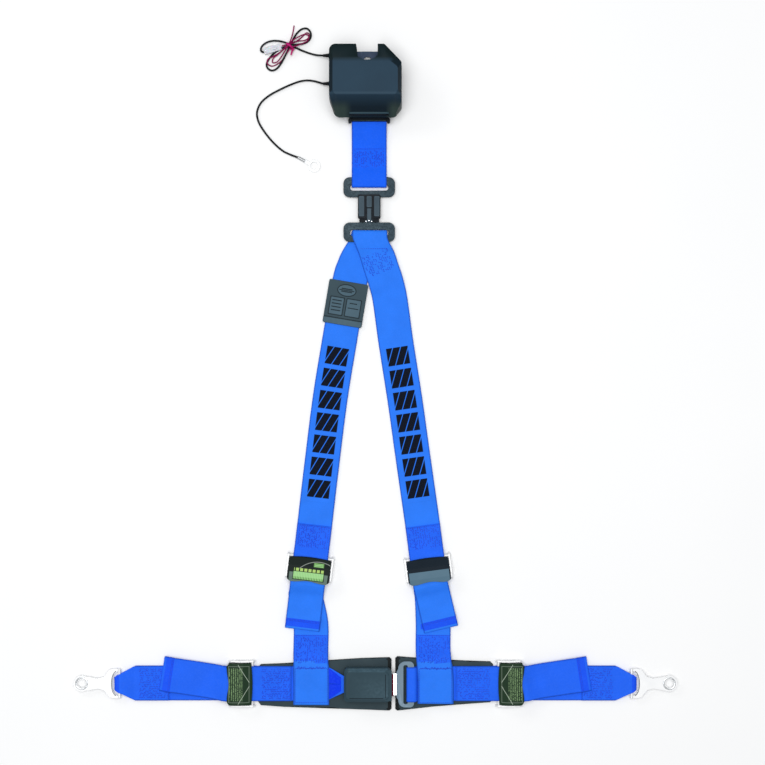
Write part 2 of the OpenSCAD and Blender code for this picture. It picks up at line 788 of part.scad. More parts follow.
module outer_lap_belt(side, tail_turn) {
    shoulder_x = bracket_bar_x - 20;
    adjuster_x = lap_bar_x + adjuster_l + 15;
    color("royalblue") {
        union() {
            // Loop round the bracket's bar, folded narrow, and the sewn double layer
            translate([0, lap_y, 0]) intersection() {
                along_y(webbing_w) difference() {
                    union() {
                        translate([side * bracket_bar_x, bracket_z])
                            circle(r = bracket_loop_r + webbing_t);
                        polygon(ribbon([
                            [side * bracket_bar_x, bracket_z + bracket_loop_r + webbing_t / 2],
                            [side * shoulder_x, floor_level + webbing_t],
                            [side * 296, floor_level + webbing_t]
                        ], webbing_t / 2 + 0.01));
                        polygon(ribbon([
                            [side * bracket_bar_x, floor_level], [side * (adjuster_x - 4), floor_level]
                        ], webbing_t / 2));
                    }
                    translate([side * bracket_bar_x, bracket_z]) circle(r = bracket_loop_r);
                }
                linear_extrude(40) polygon([
                    [side * 400, -bracket_loop_w / 2], [side * (bracket_bar_x - 5), -bracket_loop_w / 2],
                    [side * shoulder_x, -webbing_w / 2], [side * 180, -webbing_w / 2],
                    [side * 180, webbing_w / 2], [side * shoulder_x, webbing_w / 2],
                    [side * (bracket_bar_x - 5), bracket_loop_w / 2], [side * 400, bracket_loop_w / 2]
                ]);
            }
            at_lap_bar(side) belt_entry(floor_level, 16);
        }
        at_lap_bar(side) loose_tail(94, second_level + 1.4, tail_turn);
    }
}

module left_outer_lap_belt() {
    outer_lap_belt(-1, -8.8);
}

module right_outer_lap_belt() {
    outer_lap_belt(1, 8.8);
}

module left_inner_lap_belt() {
    taper_x = -68;
    color("royalblue") intersection() {
        union() {
            at_lap_bar(-1) sewn_loop(lap_level, 40);
            translate([0, lap_y, 0]) along_y(webbing_w)
                polygon(ribbon([[-150, lap_level], [-62, lap_level], [-47, 12.2],
                [-36, 12.2]], webbing_t / 2));
        }
        translate([0, lap_y, 0]) linear_extrude(40) polygon([
            [-200, -30], [taper_x, -30], [taper_x, -webbing_w / 2], [-47.5, -12.5], [-30, -12.5],
            [-30, 12.5],
            [-47.5, 12.5], [taper_x, webbing_w / 2], [taper_x, 30], [-200, 30]
        ]);
    }
}

// Tongue: heights of its blade and grip, and the bar that the belt wraps
blade_z = 12;
blade_t = 2.6;
grip_z = [10.6, 15.8];
grip_x = [30.8, 55.6];
grip_slot_x = [40, 46.4];

module right_inner_lap_belt() {
    top = grip_z[1] + 0.2 + webbing_t / 2;
    bottom = grip_z[0] - 0.2 - webbing_t / 2;
    fold_x = grip_slot_x[1] - 0.3 - webbing_t / 2;
    color("royalblue") union() {
        at_lap_bar(1) sewn_loop(lap_level, 40);
        translate([0, lap_y, 0]) along_y(webbing_w) union() {
            polygon(ribbon([[fold_x, bottom], [55, bottom], [60, lap_level],
            [150, lap_level]], webbing_t / 2));
            polygon(ribbon([
                [fold_x, top], [56.6, top], [60, lap_level + webbing_t], [104, lap_level + webbing_t]
            ], webbing_t / 2 + 0.01));
            translate([fold_x - webbing_t / 2, bottom - webbing_t / 2])
                square([webbing_t, top - bottom + webbing_t]);
        }
    }
}

module end_bracket(side) {
    neck_x = side * 399;
    wide_x = side * 382;
    arm_y = 18.6;
    z = bracket_z - bracket_t / 2;
    outline = [
        [side * (eye_x - 4), -10.6], [neck_x, -7.2], [side * 390, -9.5], [wide_x, -arm_y - 1],
        [side * 378, -arm_y - 2.4], [side * bracket_bar_x, -arm_y - 2.4],
        [side * bracket_bar_x, arm_y + 2.4], [side * 378, arm_y + 2.4],
        [wide_x, arm_y + 1], [side * 390, 9.5], [neck_x, 7.2], [side * (eye_x - 4), 10.6]
    ];
    slot = concat(
        [[side * (bracket_bar_x + 2.2), -arm_y + 1], [side * (bracket_bar_x + 2.2), arm_y - 1]],
        [for (i = [0 : 8]) let (a = 90 - 22.5 * i)
            [side * (bracket_bar_x + 3 + 7.4 * cos(a)), (arm_y - 1.4) * sin(a)]]
    );
    color("gainsboro") union() {
        difference() {
            union() {
                translate([side * eye_x, lap_y, z]) cylinder(h = bracket_t, r = eye_r);
                translate([0, lap_y, z]) linear_extrude(bracket_t) polygon(outline);
            }
            translate([side * eye_x, lap_y, z - over]) cylinder(h = bracket_t + 2 * over, r = eye_hole_r);
            // D-shaped slot beyond the bar
            translate([0, lap_y, z - over]) linear_extrude(bracket_t + 2 * over) polygon(slot);
            // The sheet ends at the round bar between the arms
            translate([side * (bracket_bar_x - 3), lap_y, bracket_z])
                cube([6.2, 2 * (arm_y - 1), bracket_t + over], center = true);
        }
        // Round bar that the belt wraps
        translate([side * bracket_bar_x, lap_y, bracket_z]) rotate([90, 0, 0])
            cylinder(h = 2 * arm_y + 4.8, r = 2.4, center = true);
    }
}

module left_end_bracket() {
    end_bracket(-1);
}

module right_end_bracket() {
    end_bracket(1);
}

// ---------------------------------------------------------------- pads

module left_pad() {
    color("black") translate([0, lap_y, 0]) linear_extrude(pad_h) polygon(concat(
        [[-163, 28], [-163, -28], [-158, -31.6], [-58, -34.2], [-20, -pad_half_w + 2]],
        [[20, -pad_half_w], [23, -pad_half_w + 3], [23, pad_half_w - 3], [20, pad_half_w]],
        [[-20, pad_half_w - 2], [-58, 34.2], [-158, 31.6]]
    ));
}

module right_pad() {
    color("black") translate([0, lap_y, 0]) linear_extrude(pad_h) polygon(concat(
        [[28.5, pad_half_w - 3], [28.5, -pad_half_w + 3], [31.5, -pad_half_w], [72, -pad_half_w + 2]],
        [[127, -32.6], [158, -29.8], [163, -25], [163, 25], [158, 29.8], [127, 32.6]],
        [[72, pad_half_w - 2], [31.5, pad_half_w]]
    ));
}

// ---------------------------------------------------------------- buckle

buckle_x = [-45, -45 + buckle_l];
buckle_z = [5.2, 25.6];
channel_half = 18.4;

module buckle_cover() {
    wall = 2;
    roof_h = 4.4;
    centre = (buckle_x[0] + buckle_x[1]) / 2;
    shell_h = buckle_z[1] - buckle_z[0] - roof_h;
    color("black") difference() {
        translate([centre, lap_y, buckle_z[0]]) {
            round_plate([buckle_l, buckle_w], 6, shell_h);
            hull() {
                translate([0, 0, shell_h - 0.1]) round_plate([buckle_l, buckle_w], 6, 0.1, $fn = 32);
                translate([0, 0, shell_h + roof_h - 0.1])
                    round_plate([buckle_l - 7, buckle_w - 9], 6, 0.1, $fn = 32);
            }
        }
        translate([centre, lap_y, buckle_z[0] - over]) {
            round_plate([buckle_l - 2 * wall, buckle_w - 2 * wall], 4.4, shell_h + over);
            round_plate([buckle_l - 6 * wall, buckle_w - 6 * wall], 4.4, shell_h + over + roof_h / 2);
        }
        // Mouth for the tongue and the button
        translate([buckle_x[1] - 8, lap_y - channel_half, 10.4]) cube([12, 2 * channel_half, 12.2]);
        // Opening for the folded belt
        translate([buckle_x[0] - 4, lap_y - 13.5, 10]) cube([10, 27, 4.6]);
    }
}

// Axis on which the latch turns, as x and z
latch_axis = [-8.4, 19.8];

module buckle_frame() {
    base_z = 7.4;
    roof_z = 16.4;
    half = channel_half + 2.2;
    color("silver") translate([0, lap_y, 0]) difference() {
        union() {
            // Lugs that hold the latch's pin
            for (side = [-1, 1]) translate([latch_axis[0] - 2, side * 9.8 - 1, roof_z + 0.1])
                cube([4, 2, 5]);
            translate([-33, -half, base_z]) cube([53, 2 * half, 2.6]);
            for (side = [-1, 1])
                translate([-33, side * (half - 1.1) - 1.1, base_z])
                    cube([51, 2.2, roof_z + 1.8 - base_z]);
            translate([-24, -half, roof_z]) cube([27.4, 2 * half, 1.8]);
        }
        // Opening for the latch
        translate([-7, -8.6, roof_z - over]) cube([20, 17.2, 4]);
        translate([-22, -7, base_z - over]) cube([12, 14, 5]);
        translate([latch_axis[0], 0, latch_axis[1]]) rotate([90, 0, 0])
            cylinder(h = 30, r = 1.2, center = true);
    }
}

module push_button() {
    color("firebrick") translate([0, lap_y, 0]) difference() {
        union() {
            translate([9, -15.4, 16.8]) cube([15, 30.8, 5.2]);
            along_y(30.8) polygon([[20, 16.8], [26, 16.8], [25.4, 21], [22.6, 22], [20, 22]]);
        }
        translate([7, -10, 16]) cube([9, 20, 8]);
    }
}

module buckle_latch() {
    color("dimgray") translate([0, lap_y, 0]) union() {
        translate([latch_axis[0], -8, 18.8]) cube([14.4, 16, 2]);
        translate([latch_axis[0], 0, latch_axis[1]]) rotate([90, 0, 0])
            cylinder(h = 21, r = 1, center = true);
        translate([1.4, -8, 15.2]) cube([4.2, 16, 4]);
    }
}

module ejector() {
    color("ivory") translate([0, lap_y, 0]) union() {
        translate([-14, -8, 11.2]) cube([9.4, 16, 3.2]);
        translate([-19, -5, 11.2]) cube([6, 10, 3.2]);
    }
}

module tongue_blade() {
    tip_x = -4;
    color("silver") translate([0, lap_y, blade_z]) difference() {
        union() {
            translate([tip_x + 4, -blade_w / 2, 0]) cube([grip_x[0] + 3 - tip_x - 4, blade_w, blade_t]);
            translate([tip_x, -blade_w / 2 + 4, 0]) cube([8, blade_w - 8, blade_t]);
            for (side = [-1, 1]) translate([tip_x + 4, side * (blade_w / 2 - 4), 0])
                cylinder(h = blade_t, r = 4);
        }
        // Window that the latch holds
        translate([0.6, -9, -over]) cube([7, 18, blade_t + 2 * over]);
    }
}

module tongue_grip() {
    centre = (grip_x[0] + grip_x[1]) / 2;
    size = [grip_x[1] - grip_x[0], 65.6];
    color("gray") difference() {
        translate([centre, lap_y, grip_z[0]]) round_plate(size, 3, grip_z[1] - grip_z[0]);
        translate([(grip_slot_x[0] + grip_slot_x[1]) / 2, lap_y, grip_z[0] - over])
            round_plate([grip_slot_x[1] - grip_slot_x[0], 56], 2.6, grip_z[1] - grip_z[0] + 2 * over);
        translate([grip_x[0] - 4, lap_y - blade_w / 2 - 0.05, blade_z - 0.05])
            cube([7.1, blade_w + 0.1, blade_t + 0.1]);
    }
}

retractor_cover();
retractor_frame();
belt_guide();
spring_housing();
clock_spring();
sensor_housing();
sensor_ball();
lock_solenoid();
spool();
webbing_roll();
lock_pawl();
lead_grommets();
ground_lead();
ring_terminal();
feed_lead();
lead_hank();
spare_lead();
inline_connector();
retractor_strap();
upper_plate();
connector_body();
connector_latch();
lower_plate();
yoke_webbing();
left_shoulder_strap();
right_shoulder_strap();
label_sleeve();
at_bar(left_shoulder_bar, left_shoulder_turn) adjuster_frame();  // left_shoulder_adjuster_frame
at_bar(left_shoulder_bar, left_shoulder_turn) locking_bar();  // left_shoulder_locking_bar
at_bar(left_shoulder_bar, left_shoulder_turn) adjuster_cover();  // left_shoulder_adjuster_cover
at_bar(left_shoulder_bar, left_shoulder_turn) bar_webbing();  // left_shoulder_bar_webbing
at_bar(right_shoulder_bar, right_shoulder_turn) adjuster_frame();  // right_shoulder_adjuster_frame
at_bar(right_shoulder_bar, right_shoulder_turn) locking_bar();  // right_shoulder_locking_bar
at_bar(right_shoulder_bar, right_shoulder_turn) adjuster_cover();  // right_shoulder_adjuster_cover
at_bar(right_shoulder_bar, right_shoulder_turn) bar_webbing();  // right_shoulder_bar_webbing
at_lap_bar(-1) adjuster_frame();  // left_lap_adjuster_frame
at_lap_bar(-1) locking_bar();  // left_lap_locking_bar
at_lap_bar(-1) adjuster_cover();  // left_lap_adjuster_cover
at_lap_bar(-1) bar_webbing();  // left_lap_bar_webbing
at_lap_bar(1) adjuster_frame();  // right_lap_adjuster_frame
at_lap_bar(1) locking_bar();  // right_lap_locking_bar
at_lap_bar(1) adjuster_cover();  // right_lap_adjuster_cover
at_lap_bar(1) bar_webbing();  // right_lap_bar_webbing
left_lower_strap();
right_lower_strap();
left_outer_lap_belt();
right_outer_lap_belt();
left_inner_lap_belt();
right_inner_lap_belt();
left_end_bracket();
right_end_bracket();
left_pad();
right_pad();
buckle_cover();
buckle_frame();
push_button();
buckle_latch();
ejector();
tongue_blade();
tongue_grip();
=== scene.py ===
"""Racing harness with an inertia retractor: the looks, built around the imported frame.

Lengths in the tables below are in millimetres and become metres through mm(); the object lies flat, +Z up,
with +Y along the back strap towards the retractor.
"""

import math

import bmesh
import bpy
from mathutils import Matrix, Vector, noise


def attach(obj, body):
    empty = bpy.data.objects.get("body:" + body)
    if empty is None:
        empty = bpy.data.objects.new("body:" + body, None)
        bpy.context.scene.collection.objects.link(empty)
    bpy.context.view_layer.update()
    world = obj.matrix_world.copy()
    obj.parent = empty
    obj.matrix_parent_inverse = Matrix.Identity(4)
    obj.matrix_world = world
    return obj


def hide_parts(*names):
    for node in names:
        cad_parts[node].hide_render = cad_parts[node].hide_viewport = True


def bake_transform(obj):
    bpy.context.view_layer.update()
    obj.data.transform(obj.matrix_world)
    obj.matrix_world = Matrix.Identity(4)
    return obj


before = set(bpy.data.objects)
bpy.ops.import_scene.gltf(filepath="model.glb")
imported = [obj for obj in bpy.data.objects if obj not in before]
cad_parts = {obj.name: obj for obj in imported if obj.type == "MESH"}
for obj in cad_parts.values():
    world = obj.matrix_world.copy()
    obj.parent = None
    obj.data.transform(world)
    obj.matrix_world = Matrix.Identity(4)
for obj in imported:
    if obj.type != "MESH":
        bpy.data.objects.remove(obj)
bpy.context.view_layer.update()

MM = 0.001
X_AXIS = Vector((1, 0, 0))
Y_AXIS = Vector((0, 1, 0))
# Turns an outline in (y, z) with its thickness in x, as drawn by prism(), upright
SIDE_ON = Matrix(((0, 0, 1, 0), (1, 0, 0, 0), (0, 1, 0, 0), (0, 0, 0, 1)))


def mm(*values):
    """A point given in millimetres, in metres."""
    return Vector(values) * MM


def clamped(t):
    return max(0, min(1, t))


def eased(t):
    """From 0 to 1 with a soft start and a soft end."""
    t = clamped(t)
    return t * t * (3 - 2 * t)


# ------------------------------------------------------------------ camera and light

CAMERA_HEIGHT = 2.4
CAMERA_X, CAMERA_Y = 0.0101, -0.0027
VIEW_WIDTH = 1.1016
SENSOR = 36.0


def make_camera():
    data = bpy.data.cameras.new("camera")
    data.sensor_width = SENSOR
    data.lens = SENSOR * CAMERA_HEIGHT / VIEW_WIDTH
    data.clip_end = 50
    camera = bpy.data.objects.new("camera", data)
    bpy.context.scene.collection.objects.link(camera)
    camera.location = (CAMERA_X, CAMERA_Y, CAMERA_HEIGHT)
    bpy.context.scene.camera = camera


def area_light(name, place, target, size, power):
    data = bpy.data.lights.new(name, "AREA")
    data.shape = "RECTANGLE"
    data.size, data.size_y = size
    data.energy = power
    light = bpy.data.objects.new(name, data)
    bpy.context.scene.collection.objects.link(light)
    light.location = place
    light.rotation_mode = "QUATERNION"
    light.rotation_quaternion = (Vector(target) - Vector(place)).to_track_quat("-Z", "Y")


def make_studio():
    world = bpy.data.worlds.new("studio")
    bpy.context.scene.world = world
    world.use_nodes = True
    background = world.node_tree.nodes["Background"]
    background.inputs["Color"].default_value = (0.97, 0.985, 1.0, 1)
    background.inputs["Strength"].default_value = 0.34
    area_light("key", (-0.15, 0.15, 3.4), (0, 0, 0), (2.6, 2.4), 95)
    area_light("fill", (-2.0, 1.6, 1.6), (0, 0, 0), (1.2, 0.8), 9)
    bpy.ops.mesh.primitive_plane_add(size=14, location=(0, 0, -0.0006))
    floor = bpy.context.object
    floor.name = "floor"
    paint = Paint("pale_floor")
    grain = paint.noise(paint.coords("Object"), 3.0, 2)
    paint.colour(paint.mix(grain, (0.93, 0.935, 0.94), (0.96, 0.96, 0.96)))
    paint.set("Roughness", 0.9)
    paint.set("Specular IOR Level", 0.1)
    floor.data.materials.append(paint.material)
    bpy.context.scene.view_settings.view_transform = "Standard"
    bpy.context.scene.view_settings.look = "None"


# ------------------------------------------------------------------ materials


class Paint:
    """A Principled material with short calls for its nodes."""

    def __init__(self, name):
        self.material = bpy.data.materials.new(name)
        self.material.use_nodes = True
        self.tree = self.material.node_tree
        self.shader = self.tree.nodes["Principled BSDF"]
        self.bumps = None

    def node(self, kind, **values):
        made = self.tree.nodes.new(kind)
        for key, value in values.items():
            setattr(made, key, value)
        return made

    def plug(self, value, socket):
        if isinstance(value, bpy.types.NodeSocket):
            self.tree.links.new(value, socket)
        elif isinstance(value, (tuple, list)) and len(value) == 3 and socket.type == "RGBA":
            socket.default_value = (*value, 1)
        else:
            socket.default_value = value

    def set(self, name, value):
        self.plug(value, self.shader.inputs[name])

    def math(self, kind, a, b=0.0, c=0.0):
        made = self.node("ShaderNodeMath", operation=kind)
        for value, socket in zip((a, b, c), made.inputs):
            self.plug(value, socket)
        return made.outputs[0]

    def times(self, a, b):
        return self.math("MULTIPLY", a, b)

    def coords(self, name):
        return self.node("ShaderNodeTexCoord").outputs[name]

    def belt_uv(self):
        """Distance across and along a belt, in metres."""
        return self.axes(self.node("ShaderNodeUVMap", uv_map="belt").outputs[0])[:2]

    def axes(self, vector):
        split = self.node("ShaderNodeSeparateXYZ")
        self.tree.links.new(vector, split.inputs[0])
        return split.outputs[0], split.outputs[1], split.outputs[2]

    def stretched(self, vector, scale):
        made = self.node("ShaderNodeMapping")
        self.tree.links.new(vector, made.inputs[0])
        made.inputs["Scale"].default_value = scale
        return made.outputs[0]

    def noise(self, vector, scale, detail=3, roughness=0.5):
        made = self.node("ShaderNodeTexNoise")
        self.plug(vector, made.inputs["Vector"])
        made.inputs["Scale"].default_value = scale
        made.inputs["Detail"].default_value = detail
        made.inputs["Roughness"].default_value = roughness
        return made.outputs["Fac"]

    def wave(self, value, pitch):
        """A wave between 0 and 1 that repeats every pitch of the value."""
        turned = self.times(value, 2 * math.pi / pitch)
        return self.math("MULTIPLY_ADD", self.math("SINE", turned), 0.5, 0.5)

    def ramp(self, value, low, high, start=0.0, end=1.0):
        made = self.node("ShaderNodeMapRange", clamp=True)
        self.plug(value, made.inputs["Value"])
        for name, number in (("From Min", low), ("From Max", high), ("To Min", start), ("To Max", end)):
            made.inputs[name].default_value = number
        return made.outputs[0]

    def within(self, value, centre, half, soft=0.00015):
        """1 where the value is within half of the centre."""
        away = self.math("ABSOLUTE", self.math("SUBTRACT", value, centre))
        return self.ramp(away, half - soft, half + soft, 1.0, 0.0)

    def mix(self, factor, a, b):
        made = self.node("ShaderNodeMix", data_type="RGBA", blend_type="MIX")
        self.plug(factor, made.inputs["Factor"])
        sockets = [s for s in made.inputs if s.type == "RGBA"]
        self.plug(a, sockets[0])
        self.plug(b, sockets[1])
        return next(s for s in made.outputs if s.type == "RGBA")

    def colour(self, value):
        self.set("Base Color", value)

    def bump(self, height, depth, strength=1.0):
        made = self.node("ShaderNodeBump")
        made.inputs["Strength"].default_value = strength
        made.inputs["Distance"].default_value = depth
        self.plug(height, made.inputs["Height"])
        if self.bumps is not None:
            self.tree.links.new(self.bumps, made.inputs["Normal"])
        self.bumps = made.outputs[0]
        self.tree.links.new(self.bumps, self.shader.inputs["Normal"])


BLUE = (0.026, 0.212, 1.0)
BLUE_MID = (0.018, 0.145, 1.0)
BLUE_STRAP = (0.008, 0.128, 1.0)
# Painted shade for hem bands and belt tips
BLUE_HEM_SHADE = (0.012, 0.100, 1.0)
# Painted shade for the folded wedge
BLUE_FOLD_SHADE = (0.005, 0.045, 0.92)
BLUE_LOW = (0.012, 0.095, 0.84)
# Painted shade for the rounded edges of a belt
BLUE_EDGE_SHADE = (0.008, 0.050, 0.40)


def webbing_paint(name, printed=False, tone=BLUE):
    """Woven polyester: herringbone panels along the belt, with painted shade in the weave's grooves and along both
    rounded edges, and printed bars where asked.
    """
    paint = Paint(name)
    across, along = paint.belt_uv()
    panel = paint.math("ROUND", paint.math("FRACT", paint.times(across, 1 / 0.0092)))
    side = paint.math("MULTIPLY_ADD", panel, 2.0, -1.0)
    slant = paint.math("ADD", along, paint.times(side, paint.times(across, 0.7)))
    twill = paint.wave(slant, 0.0013)
    yarn = paint.wave(across, 0.00092)
    weave = paint.math("MULTIPLY_ADD", twill, 0.62, paint.times(yarn, 0.38))
    slow = paint.noise(paint.coords("Object"), 38, 3)
    fine = paint.noise(paint.coords("Object"), 420, 2)
    base = paint.mix(paint.ramp(slow, 0.3, 0.7), tone, tuple(c * 0.9 for c in tone))
    # Painted shade: the low parts of the weave, its grooves, are darkened.
    base = paint.mix(paint.ramp(weave, 0.05, 0.75, 0.32, 0.0), base, tuple(c * 0.6 for c in tone))
    # Painted shade: the last two millimetres of each edge, where the belt rounds over, are darkened.
    edge = paint.ramp(paint.math("ABSOLUTE", across), 0.0228, 0.0246)
    base = paint.mix(paint.times(edge, 0.72), base, BLUE_EDGE_SHADE)
    base = paint.mix(paint.ramp(fine, 0.45, 0.75, 0.0, 0.10), base, (0.10, 0.26, 1.0))
    gloss = paint.ramp(fine, 0.3, 0.7, 0.50, 0.66)
    if printed:
        ink = printed_bars(paint, across, along)
        worn = paint.times(ink, paint.ramp(weave, 0.0, 0.25, 0.93, 1.0))
        base = paint.mix(worn, base, (0.001, 0.002, 0.006))
        gloss = paint.math("MULTIPLY_ADD", ink, -0.08, gloss)
    paint.colour(base)
    paint.set("Roughness", gloss)
    paint.set("Specular IOR Level", 0.07)
    paint.set("Sheen Weight", 0.03)
    paint.set("Sheen Roughness", 0.4)
    paint.set("Sheen Tint", (0.15, 0.40, 1.0, 1.0))
    paint.bump(weave, 0.00022, 0.75)
    paint.bump(slow, 0.0006, 0.25)
    return paint.material


BAR_COUNT, BAR_PITCH, BAR_HEIGHT, BAR_HALF = 7, 0.0321, 0.0258, 0.0158


def printed_bars(paint, across, along):
    """Plain slanted bars in blocks down the belt, from the place where along is 0."""
    local = paint.math("MODULO", along, BAR_PITCH)
    block = paint.within(local, BAR_HEIGHT / 2, BAR_HEIGHT / 2, 0.0003)
    inside = paint.within(along, BAR_COUNT * BAR_PITCH / 2, BAR_COUNT * BAR_PITCH / 2, 0.0003)
    body = paint.within(across, 0, BAR_HALF, 0.0003)
    slanted = paint.math("ADD", across, paint.times(local, 0.45))
    cut = paint.within(paint.math("PINGPONG", slanted, 0.0058), 0.0058, 0.0006, 0.0002)
    ink = paint.times(paint.times(block, inside), body)
    return paint.times(ink, paint.math("SUBTRACT", 1.0, cut))


def thread_paint():
    paint = Paint("stitch_thread")
    twist = paint.noise(paint.coords("Object"), 900, 2)
    paint.colour(paint.mix(twist, (0.007, 0.040, 0.52), (0.012, 0.070, 0.72)))
    paint.set("Roughness", 0.62)
    paint.bump(twist, 0.0001, 0.6)
    return paint.material


def plastic_paint(name, colour, light, rough=(0.34, 0.5), grain=2600, depth=0.00003, worn=0.0):
    """Moulded plastic with a fine spark grain, slow tone changes and edges made lighter, partly as wear and partly
    as painted highlight.
    """
    paint = Paint(name)
    place = paint.coords("Object")
    spark = paint.noise(place, grain, 2)
    slow = paint.noise(place, 26, 4)
    base = paint.mix(paint.ramp(slow, 0.3, 0.72), colour, light)
    if worn:
        # Lighter on sharp edges: partly rubbed wear, partly painted highlight.
        ridge = paint.ramp(paint.node("ShaderNodeNewGeometry").outputs["Pointiness"], 0.52, 0.60)
        wear_and_highlight = paint.times(ridge, paint.ramp(paint.noise(place, 240, 3), 0.35, 0.7, 0.3, 1.0))
        base = paint.mix(paint.times(wear_and_highlight, worn), base, tuple(min(1, c * 3 + 0.03) for c in colour))
    paint.colour(base)
    paint.set("Roughness", paint.ramp(slow, 0.25, 0.75, rough[0], rough[1]))
    paint.set("Specular IOR Level", 0.06)
    paint.bump(spark, depth, 0.7)
    return paint.material


def cover_paint():
    """The retractor's cover: satin on its flat face, with painted shade darkening its slopes and sides, a painted
    highlight along the plateau's front edge, and a painted lighter, greener tone at its front corners.
    """
    paint = Paint("retractor_plastic")
    place = paint.coords("Object")
    slow = paint.noise(place, 26, 4)
    base = paint.mix(paint.ramp(slow, 0.3, 0.72), (0.017, 0.041, 0.068), (0.022, 0.050, 0.080))
    _, ny, nz = paint.axes(paint.node("ShaderNodeNewGeometry").outputs["Normal"])
    # Painted shade: faces that lean off the flat are darkened, and faces turned to the side go near-black.
    base = paint.mix(paint.ramp(nz, 0.974, 0.993, 1.0, 0.0), base, (0.007, 0.015, 0.022))
    base = paint.mix(paint.ramp(nz, 0.25, 0.60, 0.8, 0.0), base, (0.002, 0.004, 0.005))
    x, y, _ = paint.axes(place)
    # Painted shade: the upper part of the front slope, leaning towards -y, gets a navy tone in place of the
    # near-black.
    slope = paint.times(paint.ramp(nz, 0.974, 0.993, 1.0, 0.0), paint.ramp(ny, -0.2, 0.0, 1.0, 0.0))
    base = paint.mix(paint.times(slope, paint.ramp(y, 0.387, 0.403)), base, (0.016, 0.036, 0.058))
    # Painted highlight: a lighter line along the plateau's front edge.
    crease_highlight = paint.within(y, 0.4045, 0.0013, 0.0010)
    base = paint.mix(paint.times(crease_highlight, 0.45), base, (0.038, 0.074, 0.108))
    # Painted shade: the slope behind the plateau goes near-black.
    base = paint.mix(paint.ramp(y, 0.4485, 0.4550, 0.0, 0.9), base, (0.005, 0.012, 0.013))
    # Painted light: the flared front corners get a lighter, greener tone, strongest on faces that face forward.
    front = paint.ramp(y, 0.386, 0.396, 1.0, 0.0)
    outer = paint.ramp(paint.math("ABSOLUTE", paint.math("ADD", x, 0.0095)), 0.024, 0.034)
    corner = paint.times(paint.times(front, outer), paint.ramp(ny, -0.9, -0.1, 0.9, 0.5))
    base = paint.mix(corner, base, (0.034, 0.055, 0.048))
    paint.colour(base)
    paint.set("Roughness", paint.ramp(slow, 0.25, 0.75, 0.38, 0.5))
    paint.set("Specular IOR Level", 0.06)
    paint.bump(paint.noise(place, 1700, 2), 0.00006, 0.7)
    return paint.material


def steel_paint(name, colour, light, rough=(0.28, 0.42), brushed=(1, 1, 14), scale=160, metallic=1.0,
                spots=0.0):
    """Metal with a directional grain, and dull spots where asked."""
    paint = Paint(name)
    place = paint.coords("Object")
    grain = paint.noise(paint.stretched(place, brushed), scale, 3)
    slow = paint.noise(place, 45, 3)
    base = paint.mix(paint.ramp(slow, 0.3, 0.7), colour, light)
    if spots:
        patches = paint.ramp(paint.noise(place, 620, 4, 0.65), 0.45, 0.65)
        base = paint.mix(paint.times(patches, spots), base, tuple(c * 0.45 for c in colour))
        paint.bump(patches, 0.00008, 0.5)
    paint.colour(base)
    paint.set("Metallic", metallic)
    paint.set("Specular IOR Level", 0.2)
    paint.set("Roughness", paint.ramp(grain, 0.25, 0.75, rough[0], rough[1]))
    paint.bump(grain, 0.00004, 0.4)
    return paint.material


def pad_paint():
    paint = Paint("pad_cloth")
    place = paint.coords("Object")
    x, y, _ = paint.axes(place)
    cross = paint.times(paint.wave(x, 0.0012), paint.wave(y, 0.0012))
    slow = paint.noise(place, 30, 3)
    base = paint.mix(paint.ramp(slow, 0.3, 0.7), (0.036, 0.060, 0.074), (0.050, 0.078, 0.092))
    # Painted shade: the low parts of the cloth's weave are darkened.
    base = paint.mix(paint.ramp(cross, 0.0, 0.5, 0.45, 0.0), base, (0.02, 0.028, 0.03))
    paint.colour(base)
    paint.set("Roughness", 0.68)
    paint.set("Specular IOR Level", 0.1)
    paint.set("Sheen Weight", 0.05)
    paint.bump(cross, 0.00016, 0.7)
    return paint.material


def nylon_paint():
    paint = Paint("clear_nylon")
    place = paint.coords("Object")
    cloud = paint.noise(place, 120, 3)
    paint.colour(paint.mix(cloud, (0.62, 0.66, 0.74), (0.80, 0.82, 0.86)))
    paint.set("Roughness", 0.3)
    paint.set("Transmission Weight", 0.25)
    paint.set("Subsurface Weight", 0.25)
    paint.set("Subsurface Scale", 0.003)
    paint.bump(cloud, 0.0002, 0.3)
    return paint.material


def cover_finish(paint, base, grain, specular, bump=(0.00004, 0.4), sides=(0.006, 0.008, 0.010),
                 rough=(0.34, 0.46)):
    """The end of an adjuster cover's finish: painted shade that darkens the faces turned to the side, and the fine
    grain of its moulding.
    """
    nz = paint.axes(paint.node("ShaderNodeNewGeometry").outputs["Normal"])[2]
    # Painted shade: faces turned to the side are darkened towards the sides colour.
    paint.colour(paint.mix(paint.ramp(nz, 0.3, 0.75, 0.9, 0.0), base, sides))
    paint.set("Roughness", paint.ramp(grain, 0.3, 0.7, *rough))
    paint.set("Specular IOR Level", specular)
    paint.bump(grain, *bump)
    return paint.material


